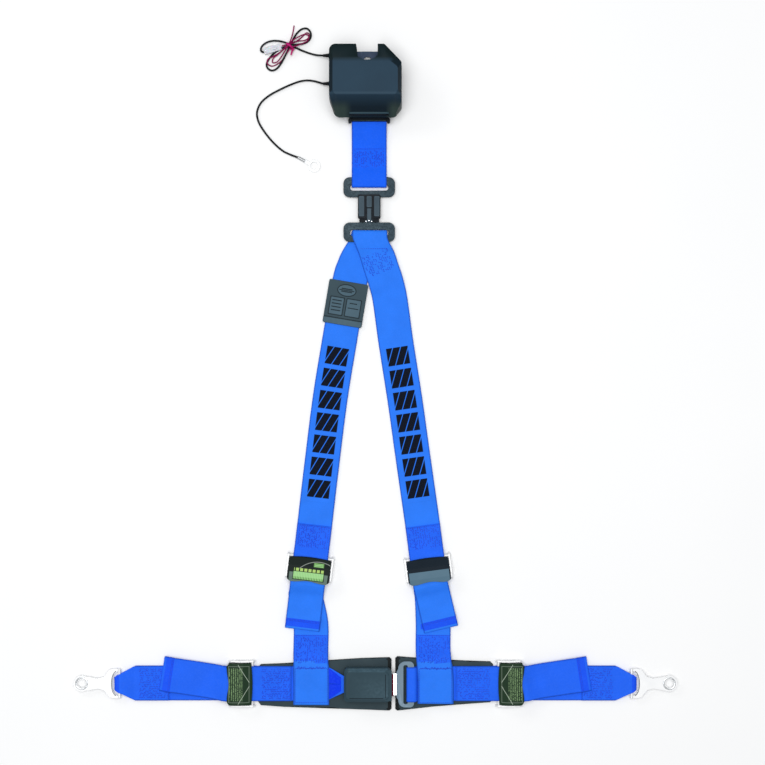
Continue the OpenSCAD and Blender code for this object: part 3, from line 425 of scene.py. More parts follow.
def label_paint(name):
    """Shoulder adjuster: black face with a thin arc and a small green field, blocks, a ruled green field below."""
    paint = Paint(name)
    across, along = paint.belt_uv()

    def field(cx, cy, half_x, half_y):
        return paint.times(paint.within(across, cx * MM, half_x * MM),
                          paint.within(along, cy * MM, half_y * MM))

    green, pale, dark = (0.11, 0.26, 0.07), (0.36, 0.68, 0.28), (0.006, 0.012, 0.010)
    grain = paint.noise(paint.coords("Object"), 700, 3)
    base = paint.mix(grain, dark, (0.012, 0.018, 0.016))
    rim = field(0, -11.6, 27.6, 7.2)
    base = paint.mix(rim, base, (0.13, 0.19, 0.16))
    base = paint.mix(field(0, -8.2, 22.6, 6.8), base, dark)
    shade = paint.ramp(along, -0.0135, -0.0075, 0.0, 1.0)
    rule = paint.times(paint.ramp(paint.wave(across, 0.0023), 0.35, 0.6), paint.ramp(shade, 0.35, 0.6, 1.0, 0.25))
    base = paint.mix(field(0, -8.6, 21.6, 5.4), base, paint.mix(rule, pale, green))
    dashes = paint.times(field(0, -0.2, 21.2, 2.1), paint.ramp(paint.wave(across, 0.0060), 0.14, 0.24))
    base = paint.mix(dashes, base, (0.40, 0.60, 0.16))
    base = paint.mix(field(13.5, 8.4, 7.4, 3.0), base, green)
    small = paint.times(field(13.5, 8.4, 6.4, 2.2), paint.ramp(paint.wave(along, 0.0020), 0.4, 0.6))
    base = paint.mix(small, base, pale)
    dx = paint.math("SUBTRACT", across, 0.014)
    dy = paint.math("ADD", along, 0.026)
    far = paint.math("SQRT", paint.math("ADD", paint.times(dx, dx), paint.times(dy, dy)))
    arc_line = paint.times(paint.within(far, 0.039, 0.0004, 0.0003), paint.within(along, 0.010, 0.0085))
    base = paint.mix(arc_line, base, (0.30, 0.34, 0.30))
    return cover_finish(paint, base, grain, 0.06)


# ------------------------------------------------------------------ mesh helpers


def add_object(name, mesh, material, body, smooth=True):
    made = bpy.data.objects.new(name, mesh)
    bpy.context.scene.collection.objects.link(made)
    if material is not None:
        mesh.materials.clear()
        mesh.materials.append(material)
    mesh.polygons.foreach_set("use_smooth", [smooth] * len(mesh.polygons))
    if body is not None:
        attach(made, body)
    return made


def mesh_from(name, points, faces):
    mesh = bpy.data.meshes.new(name)
    mesh.from_pydata([tuple(p) for p in points], [], faces)
    mesh.validate()
    mesh.update()
    return mesh


def bevel(made, width, segments=3, angle=35):
    modifier = made.modifiers.new("round_edges", "BEVEL")
    modifier.width = width * MM
    modifier.segments = segments
    modifier.limit_method = "ANGLE"
    modifier.angle_limit = math.radians(angle)
    modifier.use_clamp_overlap = True
    modifier.harden_normals = False
    keep_flat = made.modifiers.new("flat_faces", "WEIGHTED_NORMAL")
    keep_flat.keep_sharp = True
    return made


def settle(made):
    """Applies the modifiers, so that the mesh is what rides on its body."""
    graph = bpy.context.evaluated_depsgraph_get()
    final = bpy.data.meshes.new_from_object(made.evaluated_get(graph))
    made.modifiers.clear()
    made.data = final
    return made


def ring_faces(count, a, b):
    """Faces between two rings of count points, whose first points are numbers a and b."""
    return [(a + k, a + (k + 1) % count, b + (k + 1) % count, b + k) for k in range(count)]


def skin_faces(count, rings):
    """Faces between rings of count points each, closed at both ends."""
    faces = []
    for level in range(rings - 1):
        faces += ring_faces(count, level * count, (level + 1) * count)
    faces.append(tuple(range(count - 1, -1, -1)))
    faces.append(tuple(range((rings - 1) * count, rings * count)))
    return faces


def prism(name, outline, low, high):
    """Solid between two heights from an outline of (x, y) points in mm, counter-clockwise."""
    count = len(outline)
    points = [mm(x, y, low) for x, y in outline] + [mm(x, y, high) for x, y in outline]
    faces = [tuple(range(count - 1, -1, -1)), tuple(range(count, 2 * count))]
    return mesh_from(name, points, faces + ring_faces(count, 0, count))


def face_outward(mesh):
    work = bmesh.new()
    work.from_mesh(mesh)
    bmesh.ops.recalc_face_normals(work, faces=work.faces[:])
    work.to_mesh(mesh)
    work.free()


def arc(cx, cy, radius, start, end, steps=6):
    """Points of an arc, in degrees."""
    turns = [math.radians(start + (end - start) * i / steps) for i in range(steps + 1)]
    return [(cx + radius * math.cos(a), cy + radius * math.sin(a)) for a in turns]


def oval(cx, cy, rx, ry, steps=36):
    return [(cx + rx * math.cos(2 * math.pi * k / steps), cy + ry * math.sin(2 * math.pi * k / steps))
            for k in range(steps)]


def round_rect(x0, y0, x1, y1, radius, steps=6):
    corners = [(x1 - radius, y0 + radius, -90), (x1 - radius, y1 - radius, 0),
               (x0 + radius, y1 - radius, 90), (x0 + radius, y0 + radius, 180)]
    return [p for cx, cy, a in corners for p in arc(cx, cy, radius, a, a + 90, steps)]


def rounded(points, radii, steps=5):
    """Outline through corner points, each rounded by its radius."""
    out = []
    for i, (corner, radius) in enumerate(zip(points, radii)):
        here = Vector(corner)
        before, after = Vector(points[i - 1]), Vector(points[(i + 1) % len(points)])
        a, b = (before - here).normalized(), (after - here).normalized()
        if radius <= 0:
            out.append(tuple(here))
            continue
        half = math.acos(max(-1, min(1, a.dot(b)))) / 2
        run = radius / math.tan(half)
        start, end = here + a * run, here + b * run
        centre = here + (a + b).normalized() * radius / math.sin(half)
        first = math.atan2(start.y - centre.y, start.x - centre.x)
        sweep = math.atan2(end.y - centre.y, end.x - centre.x) - first
        sweep = (sweep + math.pi) % (2 * math.pi) - math.pi
        out += [(centre.x + radius * math.cos(first + sweep * k / steps),
                 centre.y + radius * math.sin(first + sweep * k / steps)) for k in range(steps + 1)]
    return out


def carve(made, cutter_mesh, operation="DIFFERENCE"):
    """Subtracts a closed mesh from an object for good, or keeps only what lies inside it."""
    cutter = bpy.data.objects.new("cutter", cutter_mesh)
    bpy.context.scene.collection.objects.link(cutter)
    modifier = made.modifiers.new("cut", "BOOLEAN")
    modifier.operation = operation
    modifier.solver = "EXACT"
    modifier.object = cutter
    settle(made)
    bpy.data.objects.remove(cutter)
    return made


def join_meshes(name, meshes):
    """One mesh of several loose ones, which keep their own faces and UVs."""
    work = bmesh.new()
    for mesh in meshes:
        work.from_mesh(mesh)
    joined = bpy.data.meshes.new(name)
    work.to_mesh(joined)
    work.free()
    return joined


# ------------------------------------------------------------------ belts

WEB_W = 50.0
WEB_T = 1.6
HALF = WEB_W / 2
SECTION = [-1, -0.985, -0.955, -0.90, -0.72, -0.48, -0.24, 0, 0.24, 0.48, 0.72, 0.90, 0.955, 0.985, 1]


def catmull(points, step):
    """Smooth curve through points, in mm, with a point about every step."""
    out = []
    for i in range(len(points) - 1):
        a, b = points[max(i - 1, 0)], points[i]
        c, d = points[i + 1], points[min(i + 2, len(points) - 1)]
        count = max(1, round((c - b).length / step))
        for k in range(count):
            t = k / count
            out.append(0.5 * (2 * b + (c - a) * t + (2 * a - 5 * b + 4 * c - d) * t * t
                              + (3 * b - a - 3 * c + d) * t * t * t))
    return out + [points[-1]]


def straight(points, step):
    """Points about every step along straight stretches, in mm."""
    out = []
    for a, b in zip(points, points[1:]):
        count = max(1, round((b - a).length / step))
        out += [a.lerp(b, k / count) for k in range(count)]
    return out + [points[-1]]


def flat_sides(points, half=HALF):
    """Half-width vectors square to a path seen from above, to the right of its heading seen from below."""
    sides = []
    for i in range(len(points)):
        heading = points[min(i + 1, len(points) - 1)] - points[max(i - 1, 0)]
        across = Vector((-heading.y, heading.x, 0)).normalized()
        sides.append(across * half)
    return sides


def belt(name, points, sides, material, body=None, start=0.0, wave=0.25):
    """A belt along points, with its half-width vector at each. start is the distance along at its first point.
    Distances are in mm. wave is how far it leaves the true plane."""
    count = len(SECTION)
    verts, spots = [], []
    travelled = start
    for i, (point, side) in enumerate(zip(points, sides)):
        if i:
            travelled += (point - points[i - 1]).length
        heading = (points[min(i + 1, len(points) - 1)] - points[max(i - 1, 0)]).normalized()
        normal = side.cross(heading).normalized()
        width = side.length
        for face in (1, -1):
            for u in (SECTION if face == 1 else reversed(SECTION)):
                rim = abs(u)
                bulge = 1.0 if rim < 0.88 else 1.14 if rim < 0.97 else 0.85
                if rim > 0.999:
                    bulge = 0.35
                high = face * bulge * WEB_T / 2
                ripple = wave * noise.noise(Vector((travelled * 0.013, u * 1.1, len(name) * 0.7)))
                place = point + side * u + normal * (high + ripple)
                verts.append(place * MM)
                spots.append((u * width * MM, travelled * MM))
    ring = 2 * count
    faces = []
    for i in range(len(points) - 1):
        faces += ring_faces(ring, i * ring, (i + 1) * ring)
    last = (len(points) - 1) * ring
    for k in range(count - 1):
        faces.append((k, ring - 1 - k, ring - 2 - k, k + 1))
        faces.append((last + k + 1, last + ring - 2 - k, last + ring - 1 - k, last + k))
    mesh = mesh_from(name, verts, faces)
    layer = mesh.uv_layers.new(name="belt")
    for loop in mesh.loops:
        layer.data[loop.index].uv = spots[loop.vertex_index]
    face_outward(mesh)
    return add_object(name, mesh, material, body)


STITCH_SIDES = 5


def stitch_mesh(name, runs, radius=0.46):
    """Short raised threads, each from one point to another, in mm, sunk at both ends."""
    verts, faces = [], []
    for start, end in runs:
        along = end - start
        length = along.length
        if length < 0.2:
            continue
        along.normalize()
        flat = Vector((along.y, -along.x, 0)).normalized()
        up = flat.cross(along)
        if up.z < 0:
            up = -up
        base = len(verts)
        for share, size, height in ((0.0, 0.35, -0.25), (0.22, 1.0, 0.12), (0.78, 1.0, 0.12), (1.0, 0.35, -0.25)):
            centre = start.lerp(end, share) + up * height
            for k in range(STITCH_SIDES):
                a = 2 * math.pi * k / STITCH_SIDES
                verts.append((centre + radius * size * (flat * math.cos(a) + up * math.sin(a))) * MM)
        for ring in range(3):
            for k in range(STITCH_SIDES):
                n = (k + 1) % STITCH_SIDES
                a, b = base + ring * STITCH_SIDES, base + (ring + 1) * STITCH_SIDES
                faces.append((a + k, b + k, b + n, a + n))
        faces.append(tuple(base + k for k in range(STITCH_SIDES)))
        faces.append(tuple(base + 3 * STITCH_SIDES + k for k in reversed(range(STITCH_SIDES))))
    return mesh_from(name, verts, faces)


def zigzag(centre, along, across, length, width, rows, pitch=3.0):
    """Close rows of zigzag stitches over a rectangle on a belt, broken up as they sink between the yarns."""
    runs = []
    rows = rows if rows == 1 else round(rows * 1.55)
    pitch = pitch if rows == 1 else pitch * 0.74
    for row in range(rows):
        offset = (row + 0.5) / rows - 0.5
        count = int(length / pitch)
        points = []
        for k in range(count + 1):
            stray = noise.noise(centre * 0.37 + Vector((row * 5.7, k * 7.3, 0.5)))
            swing = (1 if k % 2 else -1) * width / rows * (0.42 + 0.5 * stray)
            drift = (stray * 1.2 + (row % 3) * 0.66) * pitch * 0.5
            points.append(centre + along * ((k / count - 0.5) * length + drift)
                          + across * (offset * width + swing))
        for k in range(count):
            if rows == 1 or noise.noise(centre * 0.71 + Vector((row * 7.9, k * 5.3, 4.5))) > -0.14:
                runs.append((points[k].lerp(points[k + 1], 0.12), points[k].lerp(points[k + 1], 0.88)))
    return runs


def seam(start, end, pitch=2.6, share=0.72):
    """A straight row of stitches."""
    count = max(1, round((end - start).length / pitch))
    return [(start.lerp(end, (k + (1 - share) / 2) / count), start.lerp(end, (k + (1 + share) / 2) / count))
            for k in range(count)]


def frame_seam(centre, along, across, length, width):
    """A rectangle of stitches."""
    corners = [centre + along * length / 2 * a + across * width / 2 * b
               for a, b in ((1, 1), (1, -1), (-1, -1), (-1, 1))]
    return [run for k in range(4) for run in seam(corners[k], corners[(k + 1) % 4])]


# ------------------------------------------------------------------ the harness's own measures

LAP_Y = -435.0
FLOOR, SECOND, LAP = 1.8, 3.8, 6.1
BAR_Z, LOOP_R = 4.9, 3.1
LOCK_Y, LOCK_Z, WRAP_R = -14.5, 7.8, 4.0
BACK = -36.6
STRAP_X = -9
PATCH_TOP = -366.5
STITCH_LIFT = 0.85
ADJUSTERS = {
    "left_shoulder": ((-93, -254), -6.8, "left_half"),
    "right_shoulder": ((74, -255), 7.4, "right_half"),
    "left_lap": ((-177, LAP_Y), -90, "left_half"),
    "right_lap": ((177, LAP_Y), 90, "right_half"),
}


class Local:
    """An adjuster's own frame: the fixed bar is its origin and the fixed belt leaves along +y."""

    def __init__(self, name):
        (self.x, self.y), turn, self.half = ADJUSTERS[name]
        self.turn = math.radians(turn)
        self.right = Vector((math.cos(self.turn), math.sin(self.turn), 0))
        self.ahead = Vector((-math.sin(self.turn), math.cos(self.turn), 0))

    def at(self, x, y, z):
        return Vector((self.x, self.y, z)) + self.right * x + self.ahead * y

    def matrix(self):
        return Matrix.Translation(mm(self.x, self.y, 0)) @ Matrix.Rotation(self.turn, 4, "Z")


def ring(place, centre, radius, start, end, steps=8):
    """Points of an arc in a belt's own upright plane: place(y, z) gives a point, and angles are in degrees."""
    out = []
    for i in range(steps + 1):
        a = math.radians(start + (end - start) * i / steps)
        out.append(place(centre[0] + radius * math.cos(a), centre[1] + radius * math.sin(a)))
    return out


def travelled_at(points, y):
    """Distance along a path at which it first reaches a y value."""
    total = 0
    for a, b in zip(points, points[1:]):
        if (a.y - y) * (b.y - y) <= 0 and a.y != b.y:
            return total + (b - a).length * (a.y - y) / (a.y - b.y)
        total += (b - a).length
    return total


def retractor_belt(web):
    def place(y, z):
        return Vector((STRAP_X, y, z))
    path = straight([place(424, 8.4), place(366, 8.4)], 6)
    path += catmull([place(y, z) for y, z in ((362, 8.1), (346, 4.6), (336, 3.5), (310, 3.45), (300, 5.4),
                                              (291, 7.3), (282, 7.4))], 2.5)
    path += ring(place, (280.8, 4.6), 2.75, 90, 270)
    path += straight([place(282, 1.8), place(334, 1.75)], 6)
    made = belt("retractor_strap_webbing", path, [X_AXIS * HALF] * len(path), web, "back_strap", wave=0.3)
    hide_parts("retractor_strap")
    runs = zigzag(place(313.5, 4.25), -Y_AXIS, X_AXIS, 36, 44, 9, 2.9)
    runs += seam(Vector((-31, 333, 4.3)), Vector((13, 333, 4.3)))
    return runs


def tint(made, material, chosen):
    """Another tone on the faces whose middle, in mm, is chosen."""
    made.data.materials.append(material)
    number = len(made.data.materials) - 1
    for polygon in made.data.polygons:
        if chosen(polygon.center / MM):
            polygon.material_index = number


def sewn_end(place, level, run):
    """A belt's end: under the bar, round it, and back on top to its cut end."""
    low = straight([place(run, level), place(15, level)], 5)
    low += catmull([place(14, level), place(8, (level + FLOOR) / 2), place(3.0, BAR_Z - LOOP_R)], 1.5)
    loop = ring(place, (0, BAR_Z), LOOP_R, 270, 90)
    high = catmull([place(3.0, BAR_Z + LOOP_R), place(9, (level + WEB_T + 8.0) / 2), place(15, level + WEB_T)], 1.5)
    return low + loop + high + straight([place(17, level + WEB_T), place(run, level + WEB_T)], 5)


def shoulder_belt(name, adjuster, route, levels, fold, web):
    frame_at = Local(adjuster)
    flat = [Vector((x, y, 0)) for x, y in route] + [frame_at.at(0, 49.5, 0)]
    line = catmull(flat, 4)
    for point in line:
        point.z = height_at(levels, point.y)
    tail = sewn_end(lambda y, z: frame_at.at(0, y, z), FLOOR, 47)
    path = fold + line + tail
    sides = [X_AXIS * HALF] * len(fold) + flat_sides(line) + [frame_at.right * HALF] * len(tail)
    turn_over = 48.0
    for i in range(len(fold), len(fold) + len(line)):
        share = eased((203 - path[i].y) / turn_over)
        sides[i] = (X_AXIS * HALF * (1 - share) + sides[i] * share).normalized() * HALF
    made = belt(name, path, sides, web, start=-travelled_at(path, 48), wave=0.35)
    tint(made, TONES["mid"], lambda p: -6 < (p - frame_at.at(0, 0, 0)).dot(frame_at.ahead) < 46.4)
    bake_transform(made)
    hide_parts("yoke_webbing", f"{adjuster.split('_')[0]}_shoulder_strap")
    top = frame_at.at(0, 28.0, FLOOR + WEB_T + 0.8)
    runs = zigzag(top, frame_at.ahead, frame_at.right, 33, 45, 9, 2.9)
    runs += seam(frame_at.at(-22, 45.4, 4.2), frame_at.at(22, 45.4, 4.2))
    return runs


def height_at(levels, y):
    """Height at a y value, from (y, z) pairs that go down in y."""
    for (y0, z0), (y1, z1) in zip(levels, levels[1:]):
        if y0 >= y >= y1:
            return z0 + (z1 - z0) * eased((y0 - y) / (y0 - y1))
    return levels[0][1] if y > levels[0][0] else levels[-1][1]


def lay_on(runs, levels):
    """Puts stitches on top of a belt that has these levels."""
    for a, b in runs:
        a.z = height_at(levels, a.y) + STITCH_LIFT
        b.z = height_at(levels, b.y) + STITCH_LIFT


def left_shoulder_belt(web):
    fold = catmull([Vector((-9, 215.0, 2.9)), Vector((-9.4, 213.4, 2.1)), Vector((-10.4, 210, 1.8)),
                    Vector((-11.4, 206.6, 1.8))], 1.5)
    route = [(-12.4, 203), (-20, 189), (-30, 165), (-37.5, 140), (-52, 56), (-65.6, -28), (-79, -135)]
    return shoulder_belt("left_shoulder_belt", "left_shoulder", route, [(203, FLOOR), (-260, FLOOR)], fold, web)


def right_shoulder_belt(web):
    fold = catmull([Vector((-8.2, 215.4, 3.2)), Vector((-8.2, 215.5, 4.6)), Vector((-8.2, 214.2, 6.0)),
                    Vector((-8.1, 211, 7.0)), Vector((-8.0, 206.6, 7.4))], 1.5)
    route = [(-7.4, 203), (-4.2, 196), (2, 182), (9, 160), (15, 142), (21, 116), (29, 58), (42.4, -28),
             (52.5, -100)]
    levels = [(203, 7.4), (197, 7.3), (180, SECOND), (141, SECOND), (126, FLOOR), (-260, FLOOR)]
    runs = shoulder_belt("right_shoulder_belt", "right_shoulder", route, levels, fold, web)
    down = Vector((0.36, -0.93, 0))
    sewn = zigzag(Vector((3.4, 170, 0)), down, Vector((0.93, 0.36, 0)), 30, 40, 9, 2.9)
    sewn += seam(Vector((-22, 189.5, 0)), Vector((17, 189.5, 0)))
    lay_on(sewn, levels)
    return runs + sewn


def wrap(frame_at, half_wide=HALF):
    """The stretch of an adjusted belt round the locking bar, from behind at the bottom to behind on top."""
    def place(y, z):
        return frame_at.at(0, y, z)
    path = straight([place(BACK, LOCK_Z - WRAP_R), place(LOCK_Y - 1, LOCK_Z - WRAP_R)], 5)
    path += ring(place, (LOCK_Y, LOCK_Z), WRAP_R, -90, 90)
    path += straight([place(LOCK_Y - 1, LOCK_Z + WRAP_R), place(BACK, LOCK_Z + WRAP_R)], 5)
    return path, [frame_at.right * half_wide] * len(path)


def tail_path(frame_at, turn, length, level):
    """A loose tail behind an adjuster, with a hem folded under at its end."""
    turn = math.radians(turn)
    right = frame_at.right * math.cos(turn) + frame_at.ahead * math.sin(turn)
    back = frame_at.right * math.sin(turn) - frame_at.ahead * math.cos(turn)
    origin = frame_at.at(0, BACK, 0)

    def place(distance, z):
        return origin + back * distance + Vector((0, 0, z))
    drop = [(3, 11.7), (9, 9.2), (17, level + 1.6), (26, level + 0.5), (length * 0.6, level + 0.7),
            (length - 19, level + 1.9), (length - 15, level + 2.6), (length - 1.5, level + 1.2)]
    path = catmull([place(d, z) for d, z in drop], 2.5)
    path += ring(place, (length - 1.5, level + 0.25), 0.95, 90, -90, 5)
    path += straight([place(length - 2.5, level - 0.65), place(length - 14, level + 0.6)], 3)
    return path, [right * HALF] * len(path), place, right


def adjusted_belt(name, adjuster, lead_in, lead_sides, tail, nodes, web, sewn_y=None):
    """A belt from its sewn end to an adjuster, round the locking bar and out into its loose tail."""
    frame_at = Local(adjuster)
    turn, length, level = tail
    path, sides = wrap(frame_at)
    tail_line, tail_sides, place, right = tail_path(frame_at, turn, length, level)
    made = belt(name, lead_in + path + tail_line, lead_sides + sides + tail_sides, web, wave=0.35)
    start = place(0, 0)
    back = place(1, 0) - start

    def in_hem(p):
        return length - 14.5 < (p - start).dot(back) < length - 3.4
    # Painted shade: the hem band at the tail's end, where it turns down, takes the darker hem blue.
    tint(made, TONES["hem"], lambda p: in_hem(p) and abs((p - start).dot(right)) < 26)
    if sewn_y is not None:
        tint(made, TONES["mid"], lambda p: sewn_y < p.y < PATCH_TOP)
    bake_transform(made)
    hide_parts(f"{adjuster}_bar_webbing", *nodes)
    hem = []
    for from_end, height in ((13.5, 3.35), (11.6, 3.15)):
        centre = place(length - from_end, level + height)
        hem += seam(centre - right * 23, centre + right * 23, 2.2)
    return hem


def lower_belt(side, web):
    adjuster = f"{side}_shoulder"
    frame_at = Local(adjuster)
    left = side == "left"
    patch = 7.8 if left else 9.5
    end = (-92.2, -465.5) if left else (86.2, -463.6)
    knee = (-93, -350) if left else (83, -350)
    flat = [Vector((*end, 0)), Vector((end[0], -430, 0)), Vector((knee[0], -390, 0)), Vector((*knee, 0)),
            frame_at.at(0, -60, 0), frame_at.at(0, -48, 0)]
    line = catmull(flat, 4)
    levels = [(-290, FLOOR), (-384, FLOOR + 0.1), (-401, patch - 0.5), (-408, patch), (-470, patch)]
    for point in line:
        point.z = height_at(levels, point.y)
    line += [frame_at.at(0, -45, FLOOR + 0.2), frame_at.at(0, -41, FLOOR + 1.1)]
    sides = [-v for v in flat_sides(line, HALF + 0.8)]
    sides = [v * (1 if p.y < -408 else HALF / (HALF + 0.8)) for v, p in zip(sides, line)]
    if sides[0].dot(frame_at.right) < 0:
        sides = [-v for v in sides]
    hem = adjusted_belt(f"{side}_lower_belt", adjuster, line, sides, (0 if left else 6, 68, SECOND),
                        [f"{side}_lower_strap"], web, -404)
    # The doubled end that goes round the lap belt and is sewn to the strap
    middle_x = knee[0] + (end[0] - knee[0]) * 0.2
    sewn = zigzag(Vector((middle_x, -386, FLOOR + 1.1)), -Y_AXIS, X_AXIS, 36, 44, 9, 2.9)
    lay_on(sewn, levels)
    runs = hem + sewn + seam(Vector((middle_x - 23, PATCH_TOP, 2.8)), Vector((middle_x + 23, PATCH_TOP, 2.8)))
    runs += frame_seam(Vector((end[0], -437.5, patch + STITCH_LIFT)), Y_AXIS, X_AXIS, 49, 46)
    return runs + zigzag(Vector((end[0], -412.5, patch + STITCH_LIFT)), X_AXIS, Y_AXIS, 42, 5, 1, 2.2)


def outer_lap_belt(side, web):
    adjuster = f"{side}_lap"
    frame_at = Local(adjuster)
    sign = -1 if side == "left" else 1

    def place(x, z):
        return Vector((sign * x, LAP_Y, z))
    path = straight([place(296, 3.4), place(345, 3.4)], 5)
    path += catmull([place(348, 3.5), place(357, 6.4), place(365, 9.0)], 2)
    path += [place(368 + 6.4 * math.sin(math.pi * k / 10),
                   5.5 + 3.7 * math.cos(math.pi * k / 10)) for k in range(11)]
    path += straight([place(364, 1.8), place(224, 1.8)], 5)
    path += catmull([place(222, 1.85), place(218, 2.9), place(214.6, 3.75)], 1.5)
    sides = []
    for p in path:
        t = clamped((abs(p.x) - 345.5) / 20.5)
        half = HALF + (14.0 - HALF) * t
        half *= 1 - 0.36 * max(0, (abs(p.x) - 366) / 8.4) ** 1.6
        sides.append(frame_at.right * half)
    name = f"{side}_outer_belt"
    hem = adjusted_belt(name, adjuster, path, sides,
                        (-8.8 if side == "left" else 8.8, 94, SECOND + 1.4), [f"{side}_outer_lap_belt"], web)
    # Painted shadow: the narrowed tip round the end bracket takes the darker hem blue.
    tint(bpy.data.objects[name], TONES["hem"], lambda p: abs(p.x) > 366.5)
    middle = Vector((sign * 319, LAP_Y, 4.25))
    runs = hem + zigzag(middle, X_AXIS, Y_AXIS, 42, 44, 9, 2.9)
    runs += seam(Vector((sign * 297.6, LAP_Y - 23, 4.3)), Vector((sign * 297.6, LAP_Y + 23, 4.3)))
    return runs


def inner_lap_belt(side, web):
    frame_at = Local(f"{side}_lap")
    sign = -1 if side == "left" else 1
    doubled = 57.0 if side == "left" else 62.0
    loop = sewn_end(lambda y, z: frame_at.at(0, y, z), LAP, doubled)
    loop.reverse()

    def place(x, z):
        return Vector((sign * x, LAP_Y, z))
    if side == "left":
        rest = catmull([place(x, z) for x, z in ((117, LAP), (106, LAP), (88, LAP), (68, 6.3), (60, 7.4),
                                                 (52, 10.8), (46, 12.2), (36, 12.2))], 3)
    else:
        rest = straight([place(113, LAP), place(61, LAP)], 5)
        rest += catmull([place(60, 6.2), place(57.6, 7.6), place(55, 9.5), place(50, 9.6)], 1.2)
        rest += [place(47.5, 9.6), place(45.6, 10.4), place(45.1, 12), place(45.1, 14.4), place(45.6, 16),
                 place(47.2, 16.8)]
        rest += catmull([place(49, 16.9), place(55, 16.9), place(57.4, 15.6), place(58.6, 12.4), place(59.6, 9.4),
                         place(61.4, 7.9), place(64, 7.7)], 1.2)
        rest += straight([place(66, 7.7), place(104, 7.7)], 5)
    path = loop + rest
    sides = []
    for p in path:
        half = HALF
        if side == "left":
            half = HALF + (12.2 - HALF) * clamped((p.x + 70) / 24)
        sides.append(Vector((0, half, 0)))
    made = belt(f"{side}_inner_belt", path, sides, web, f"{side}_half", wave=0.35)
    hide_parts(f"{side}_inner_lap_belt")
    middle = Vector((sign * (164.5 + 179 - doubled) / 2, LAP_Y, LAP + WEB_T + STITCH_LIFT))
    runs = zigzag(middle, X_AXIS, Y_AXIS, doubled - 16, 45, 9, 2.9)
    end_x = sign * (178.8 - doubled)
    runs += seam(Vector((end_x, LAP_Y - 23, 8.6)), Vector((end_x, LAP_Y + 23, 8.6)))
    if side == "left":
        for edge in (-1, 1):
            fold_flap(f"left_wedge_fold_{'a' if edge < 0 else 'b'}", edge)
    return runs


def fold_flap(name, edge):
    """One long edge of the belt folded in to the middle of the wedge that goes into the buckle, in a deeper blue
    that is painted shade of the fold.
    """
    heights = {-75: 7.6, -67: 7.9, -58: 9.8, -49.5: 13.0}
    places = [(-75, 22.2), (-67, 22.0), (-58, 16.0), (-49.5, 9.8), (-49.5, 0.25), (-58, 0.25), (-67, 0.25),
              (-75, 0.25)]
    points = [Vector((x, LAP_Y + edge * y, heights[x])) for x, y in places]
    thick = Vector((0, 0, 0.75))
    count = len(points)
    verts = [(p - thick) * MM for p in points] + [(p + thick) * MM for p in points]
    quads = [(0, 1, 6, 7), (1, 2, 5, 6), (2, 3, 4, 5)]
    faces = quads + [tuple(count + k for k in reversed(q)) for q in quads]
    faces += [(i, count + i, count + (i + 1) % count, (i + 1) % count) for i in range(count)]
    mesh = mesh_from(name, verts, faces)
    face_outward(mesh)
    layer = mesh.uv_layers.new(name="belt")
    for loop in mesh.loops:
        p = verts[loop.vertex_index]
        layer.data[loop.index].uv = (p.y - LAP_Y * MM, p.x)
    made = add_object(name, mesh, FOLD_SHADE_PAINT, "left_half", smooth=False)
    return bevel(made, 0.5, 2)


# Painted shade: the folded flaps of the wedge get a deeper blue.
FOLD_SHADE_PAINT = webbing_paint("woven_fold_painted_shade", tone=BLUE_FOLD_SHADE)
# The hem tone is painted shade, for the turned-down hem bands and the tips round the end brackets.
TONES = {"mid": webbing_paint("woven_lap_belt", tone=BLUE_MID), "hem": webbing_paint("woven_hem_painted_shade", tone=BLUE_HEM_SHADE)}


def make_belts():
    plain = webbing_paint("woven_belt")
    mid = TONES["mid"]
    printed = webbing_paint("woven_printed_belt", printed=True)
    thread = thread_paint()
    seams = {"back_strap": retractor_belt(webbing_paint("woven_back_strap", tone=BLUE_STRAP))}
    seams["left_half"] = left_shoulder_belt(printed) + lower_belt("left", plain)
    seams["right_half"] = right_shoulder_belt(printed) + lower_belt("right", plain)
    for side in ("left", "right"):
        seams[f"{side}_half"] += outer_lap_belt(side, mid) + inner_lap_belt(side, mid)
    for body, runs in seams.items():
        add_object(f"{body}_stitches", stitch_mesh(f"{body}_stitches", runs), thread, body)


# ------------------------------------------------------------------ pads


def make_pad(name, outline, body, material, edge_material):
    """A thin pad, crowned towards its middle, with a bound edge."""
    count = len(outline)
    centre = Vector((sum(p[0] for p in outline) / count, LAP_Y))
    rings = [(1.0, 0.3), (1.0, 2.6), (0.985, 3.5), (0.955, 3.7), (0.92, 3.6), (0.86, 4.1), (0.7, 4.45), (0.4, 4.55)]
    verts = []
    for share, z in rings:
        for x, y in outline:
            away = Vector((x, y + LAP_Y)) - centre
            inset = (1 - share) * 40
            length = away.length
            place = centre + away * max(0.02, (length - inset) / length)
            ripple = 0.18 * noise.noise(Vector((place.x * 0.06, place.y * 0.06, z)))
            verts.append(mm(place.x, place.y, z + (ripple if z > 3 else 0)))
    mesh = mesh_from(name, verts, skin_faces(count, len(rings)))
    made = add_object(f"{name}_cushion", mesh, material, body)
    made.data.materials.append(edge_material)
    for polygon in made.data.polygons:
        low = min(made.data.vertices[v].co.z for v in polygon.vertices) / MM
        inner_end = abs(polygon.center.x / MM - 25.5) < 8.5 and polygon.index < 5 * count
        if len(polygon.vertices) == 4 and (polygon.index < 3 * count and low < 3.45 or inner_end):
            polygon.material_index = 1
    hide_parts(name)
    return made


def dense(points, step=5):
    out = []
    for a, b in zip(points, points[1:] + points[:1]):
        a, b = Vector(a), Vector(b)
        count = max(1, round((b - a).length / step))
        out += [tuple(a.lerp(b, k / count)) for k in range(count)]
    return out


